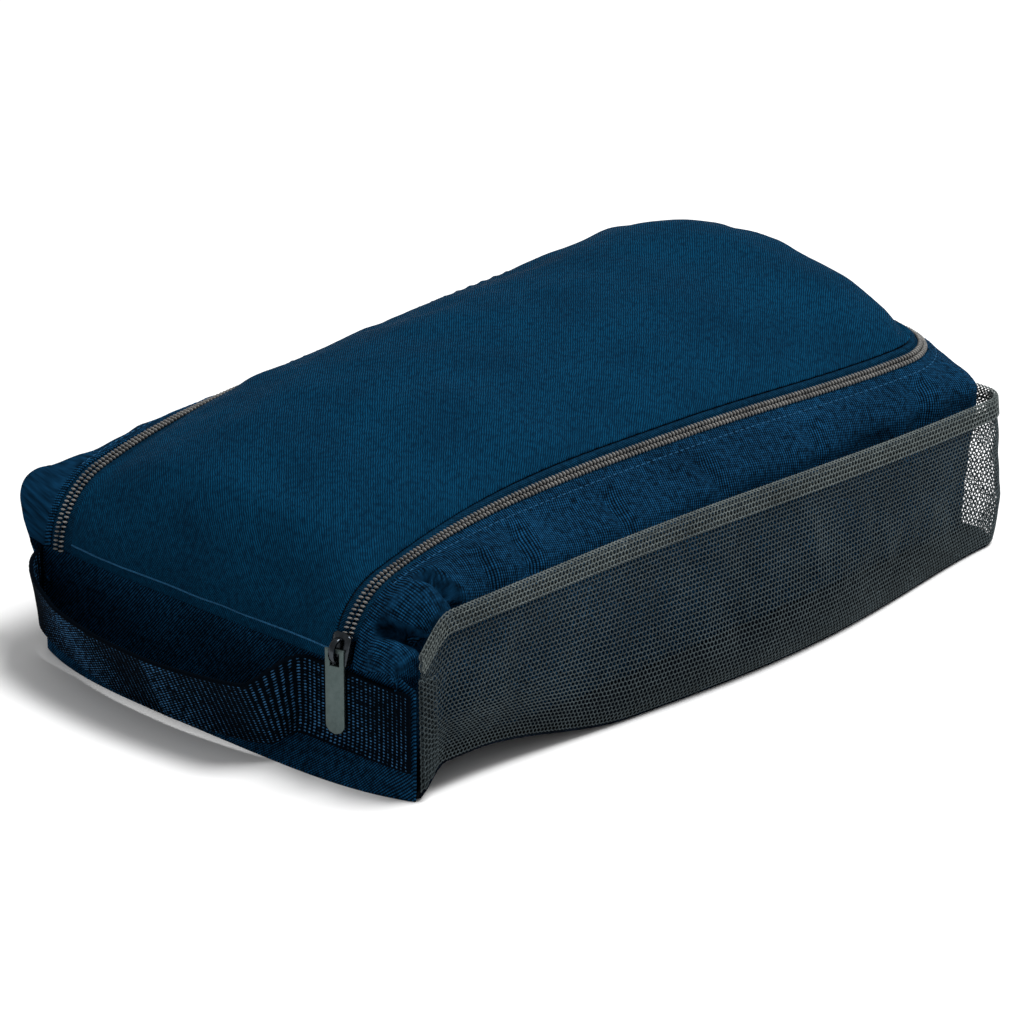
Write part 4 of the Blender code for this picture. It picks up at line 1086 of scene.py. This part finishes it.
def channel(s, low, high, lip):
    """The slider's section at s: a domed plate with a lip down each side."""
    end = abs(s) / SLIDER_HALF
    half = mix(*PLATE_HALF, smooth(-6.0, 1.0, s)) - 1.6 * max(0.0, end - 0.8) / 0.2
    top = high + 0.7 * math.copysign(1 - end ** 2, high - low)
    lip = mix(lip, low, smooth(0.7, 0.8, end))
    edge = [(-half, lip), (-half, mix(low, high, 0.6)), (-half + 0.4, high),
            (-half * 0.5, mix(high, top, 0.75)), (0, top)]
    edge += [(-w, h) for w, h in edge[-2::-1]]
    edge += [(half - 0.8, lip), (half - 0.8, low), (-half + 0.8, low), (-half + 0.8, lip)]
    return [on_zip(s, w, h) for w, h in edge]


def bridge_ring(t):
    """The bridge's section: t runs from one foot over to the other."""
    turn = math.pi * t
    reach, rise = -math.cos(turn), math.sin(turn) ** 0.7
    inner = np.array((3.5 * reach, PLATE_TOP - 0.4 + 3.9 * rise))
    outer = np.array((4.7 * reach, PLATE_TOP - 0.4 + 5.2 * rise))
    return [on_zip(s, across, h) for (s, h), across in ((mix(inner, outer, k), w) for k, w in BRIDGE)]


# Gunmetal plating on a die casting: dark, with bright mirror-like glints on its rounded edges
METAL = {"Metallic": 1.0}
slider_metal = grained("gunmetal_plated_casting", "#15171A", "#4B5055", 2.5, 4.0, (0.12, 0.3), METAL)
slider_ss = np.linspace(-SLIDER_HALF, SLIDER_HALF, 21)
top_plate = [channel(s, 2.78, PLATE_TOP, 0.45) for s in slider_ss]
low_plate = [channel(s, -1.2, -2.5, -1.0) for s in slider_ss]
post = [[on_zip(s, w, h) for w, h in POST] for s in (-5.5, -2.2)]
bridge = [bridge_ring(t) for t in np.linspace(0, 1, 25)]
slider = plain_mesh("zip_slider_casting", *lofted(top_plate, low_plate, post, bridge), slider_metal)
slider.data.set_sharp_from_angle(angle=math.radians(50))
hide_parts("zip_slider")
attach(slider, "slider")


# Pull tab: a flat stamped tongue with a round end and a window at its head, tumbled and plated. It
# hangs by its head bar from the slider's bridge, turned a little out of the front's plane.

PULL_L = 36.0
PULL_W = 8.6
PULL_T = 1.4
PULL_TURN = math.radians(16.0)
PULL_CENTRE = 3.6
PULL_HEAD = 0.8
WINDOW_X = 2.1
WINDOW_Z = 2.7
SOFT = 0.35


def tongue(angle, inset):
    """The tab's outline as (across, down) in a direction from its window's middle."""
    across, down = math.sin(angle), math.cos(angle)
    half, low = PULL_W / 2 - inset, PULL_L - PULL_W / 2
    reach = half / abs(across) if abs(across) > 1e-6 else 1e6
    if down < 0:
        reach = min(reach, (PULL_CENTRE + PULL_HEAD - inset) / -down)
    place = PULL_CENTRE + reach * down
    if down > 0 and place > low:
        b, c = (low - PULL_CENTRE) * down, (low - PULL_CENTRE) ** 2 - half ** 2
        reach = b + math.sqrt(max(b * b - c, 0.0))
    return reach * across, PULL_CENTRE + reach * down


def window(angle, inset):
    """The window's outline in the same direction."""
    across, down = math.sin(angle), math.cos(angle)
    reach = min((WINDOW_X + inset) / max(abs(across), 1e-6), (WINDOW_Z + inset) / max(abs(down), 1e-6))
    return reach * across, PULL_CENTRE + reach * down


def tab_point(spot, out):
    """A point of the turned tab, from a place on its outline and its distance out."""
    across, down = spot
    pin = on_zip(0, 0, PIN_H)
    cos, sin = math.cos(PULL_TURN), math.sin(PULL_TURN)
    return pin[0] + out * cos + across * sin, pin[1] + out * sin - across * cos, pin[2] - down


# Satin nickel plating: a flat grey-green sheen with soft, wide highlights
pull_metal = grained("satin_plated_stamping", "#404C4B", "#616D6C", 2.5, 4.0, (0.42, 0.58), METAL)
corner_turns = [math.atan2(side * WINDOW_X, WINDOW_Z * end) for side in (-1, 1) for end in (-1, 1)]
round_end = PULL_L - PULL_W / 2 * (1 - np.sin(np.linspace(0, 1.5, 12)))
edge_turns = [math.atan2(side * PULL_W / 2, down - PULL_CENTRE) for side in (-1, 1)
              for down in (-PULL_HEAD, *round_end)]
even_turns = np.linspace(-3.1, 3.1, 40)
tab_turns = sorted(set(np.round(np.concatenate([corner_turns, edge_turns, even_turns, [0.0]]), 5)))
# The tab's section, as outline, inset and distance out: the outer edge, the face, the window's edge
HALF_T = PULL_T / 2
tab_section = [(tongue, 0.0, HALF_T - SOFT), (tongue, SOFT * 0.3, HALF_T - SOFT * 0.3),
               (tongue, SOFT, HALF_T), (window, SOFT * 0.6, HALF_T), (window, 0.0, HALF_T - SOFT * 0.6)]
tab_section += [(shape, inset, -out) for shape, inset, out in tab_section[::-1]]
tab_loops = [[tab_point(shape(turn, inset), out) for turn in tab_turns] for shape, inset, out in tab_section]
size = len(tab_turns)
tab_faces = []
for k in range(len(tab_loops)):
    for j in range(size):
        after, beyond = (j + 1) % size, (k + 1) % len(tab_loops)
        tab_faces.append((k * size + j, k * size + after, beyond * size + after, beyond * size + j))
tab = plain_mesh("zip_pull_tab_stamping", np.concatenate(tab_loops), tab_faces, pull_metal)
tab.data.set_sharp_from_angle(angle=math.radians(35))
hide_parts("zip_pull_tab")
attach(tab, "pull_tab")


# Studio: a sheet of white paper under the bag, an even sky and one soft lamp high on the right, with
# the camera at the photograph's angle.

floor_mesh = bpy.data.meshes.new("studio_floor")
floor_mesh.from_pydata([(-9, -9, 0), (9, -9, 0), (9, 9, 0), (-9, 9, 0)], [], [(0, 1, 2, 3)])
floor = in_scene("studio_floor", floor_mesh)
# White paper: matt, with hardly any grain
paper = grained("white_paper_sweep", "#F4F4F4", "#FAFAFA", 25, 2.0, 0.9, DULL)
floor_mesh.materials.append(paper)

scene = bpy.context.scene
scene.view_settings.view_transform = "Standard"
world = bpy.data.worlds.new("studio_sky")
scene.world = world
world.use_nodes = True
sky = world.node_tree.nodes["Background"]
sky.inputs["Color"].default_value = (1, 1, 1, 1)
sky.inputs["Strength"].default_value = 0.46

KEY_PLACE = Vector((0.6, -0.7, 2.4))
KEY_TARGET = Vector((0, 0, 0.05))
key = bpy.data.lights.new("key_lamp", "AREA")
key.shape = "SQUARE"
key.size = 1.2
key.energy = 72.0
lamp = in_scene("key_lamp", key)
lamp.location = KEY_PLACE
lamp.rotation_euler = (KEY_TARGET - KEY_PLACE).to_track_quat("-Z", "Y").to_euler()

VIEW_AZIMUTH = math.radians(-46.5)
VIEW_ELEVATION = math.radians(22.5)
VIEW_DISTANCE = 2.2
VIEW_TARGET = Vector((-0.028, -0.013, 0.050))
PIXELS = 1024
PIXELS_PER_MM = 2.37
FOCAL_PIXELS = PIXELS_PER_MM * VIEW_DISTANCE / MM
SENSOR = 36.0
back = Vector((math.sin(VIEW_AZIMUTH) * math.cos(VIEW_ELEVATION),
               -math.cos(VIEW_AZIMUTH) * math.cos(VIEW_ELEVATION), math.sin(VIEW_ELEVATION)))
lens = bpy.data.cameras.new("photo_camera")
lens.sensor_width = SENSOR
lens.lens = FOCAL_PIXELS / PIXELS * SENSOR
lens.clip_end = 100.0
camera = in_scene("photo_camera", lens)
camera.location = VIEW_TARGET + back * VIEW_DISTANCE
camera.rotation_euler = back.to_track_quat("Z", "Y").to_euler()
scene.camera = camera
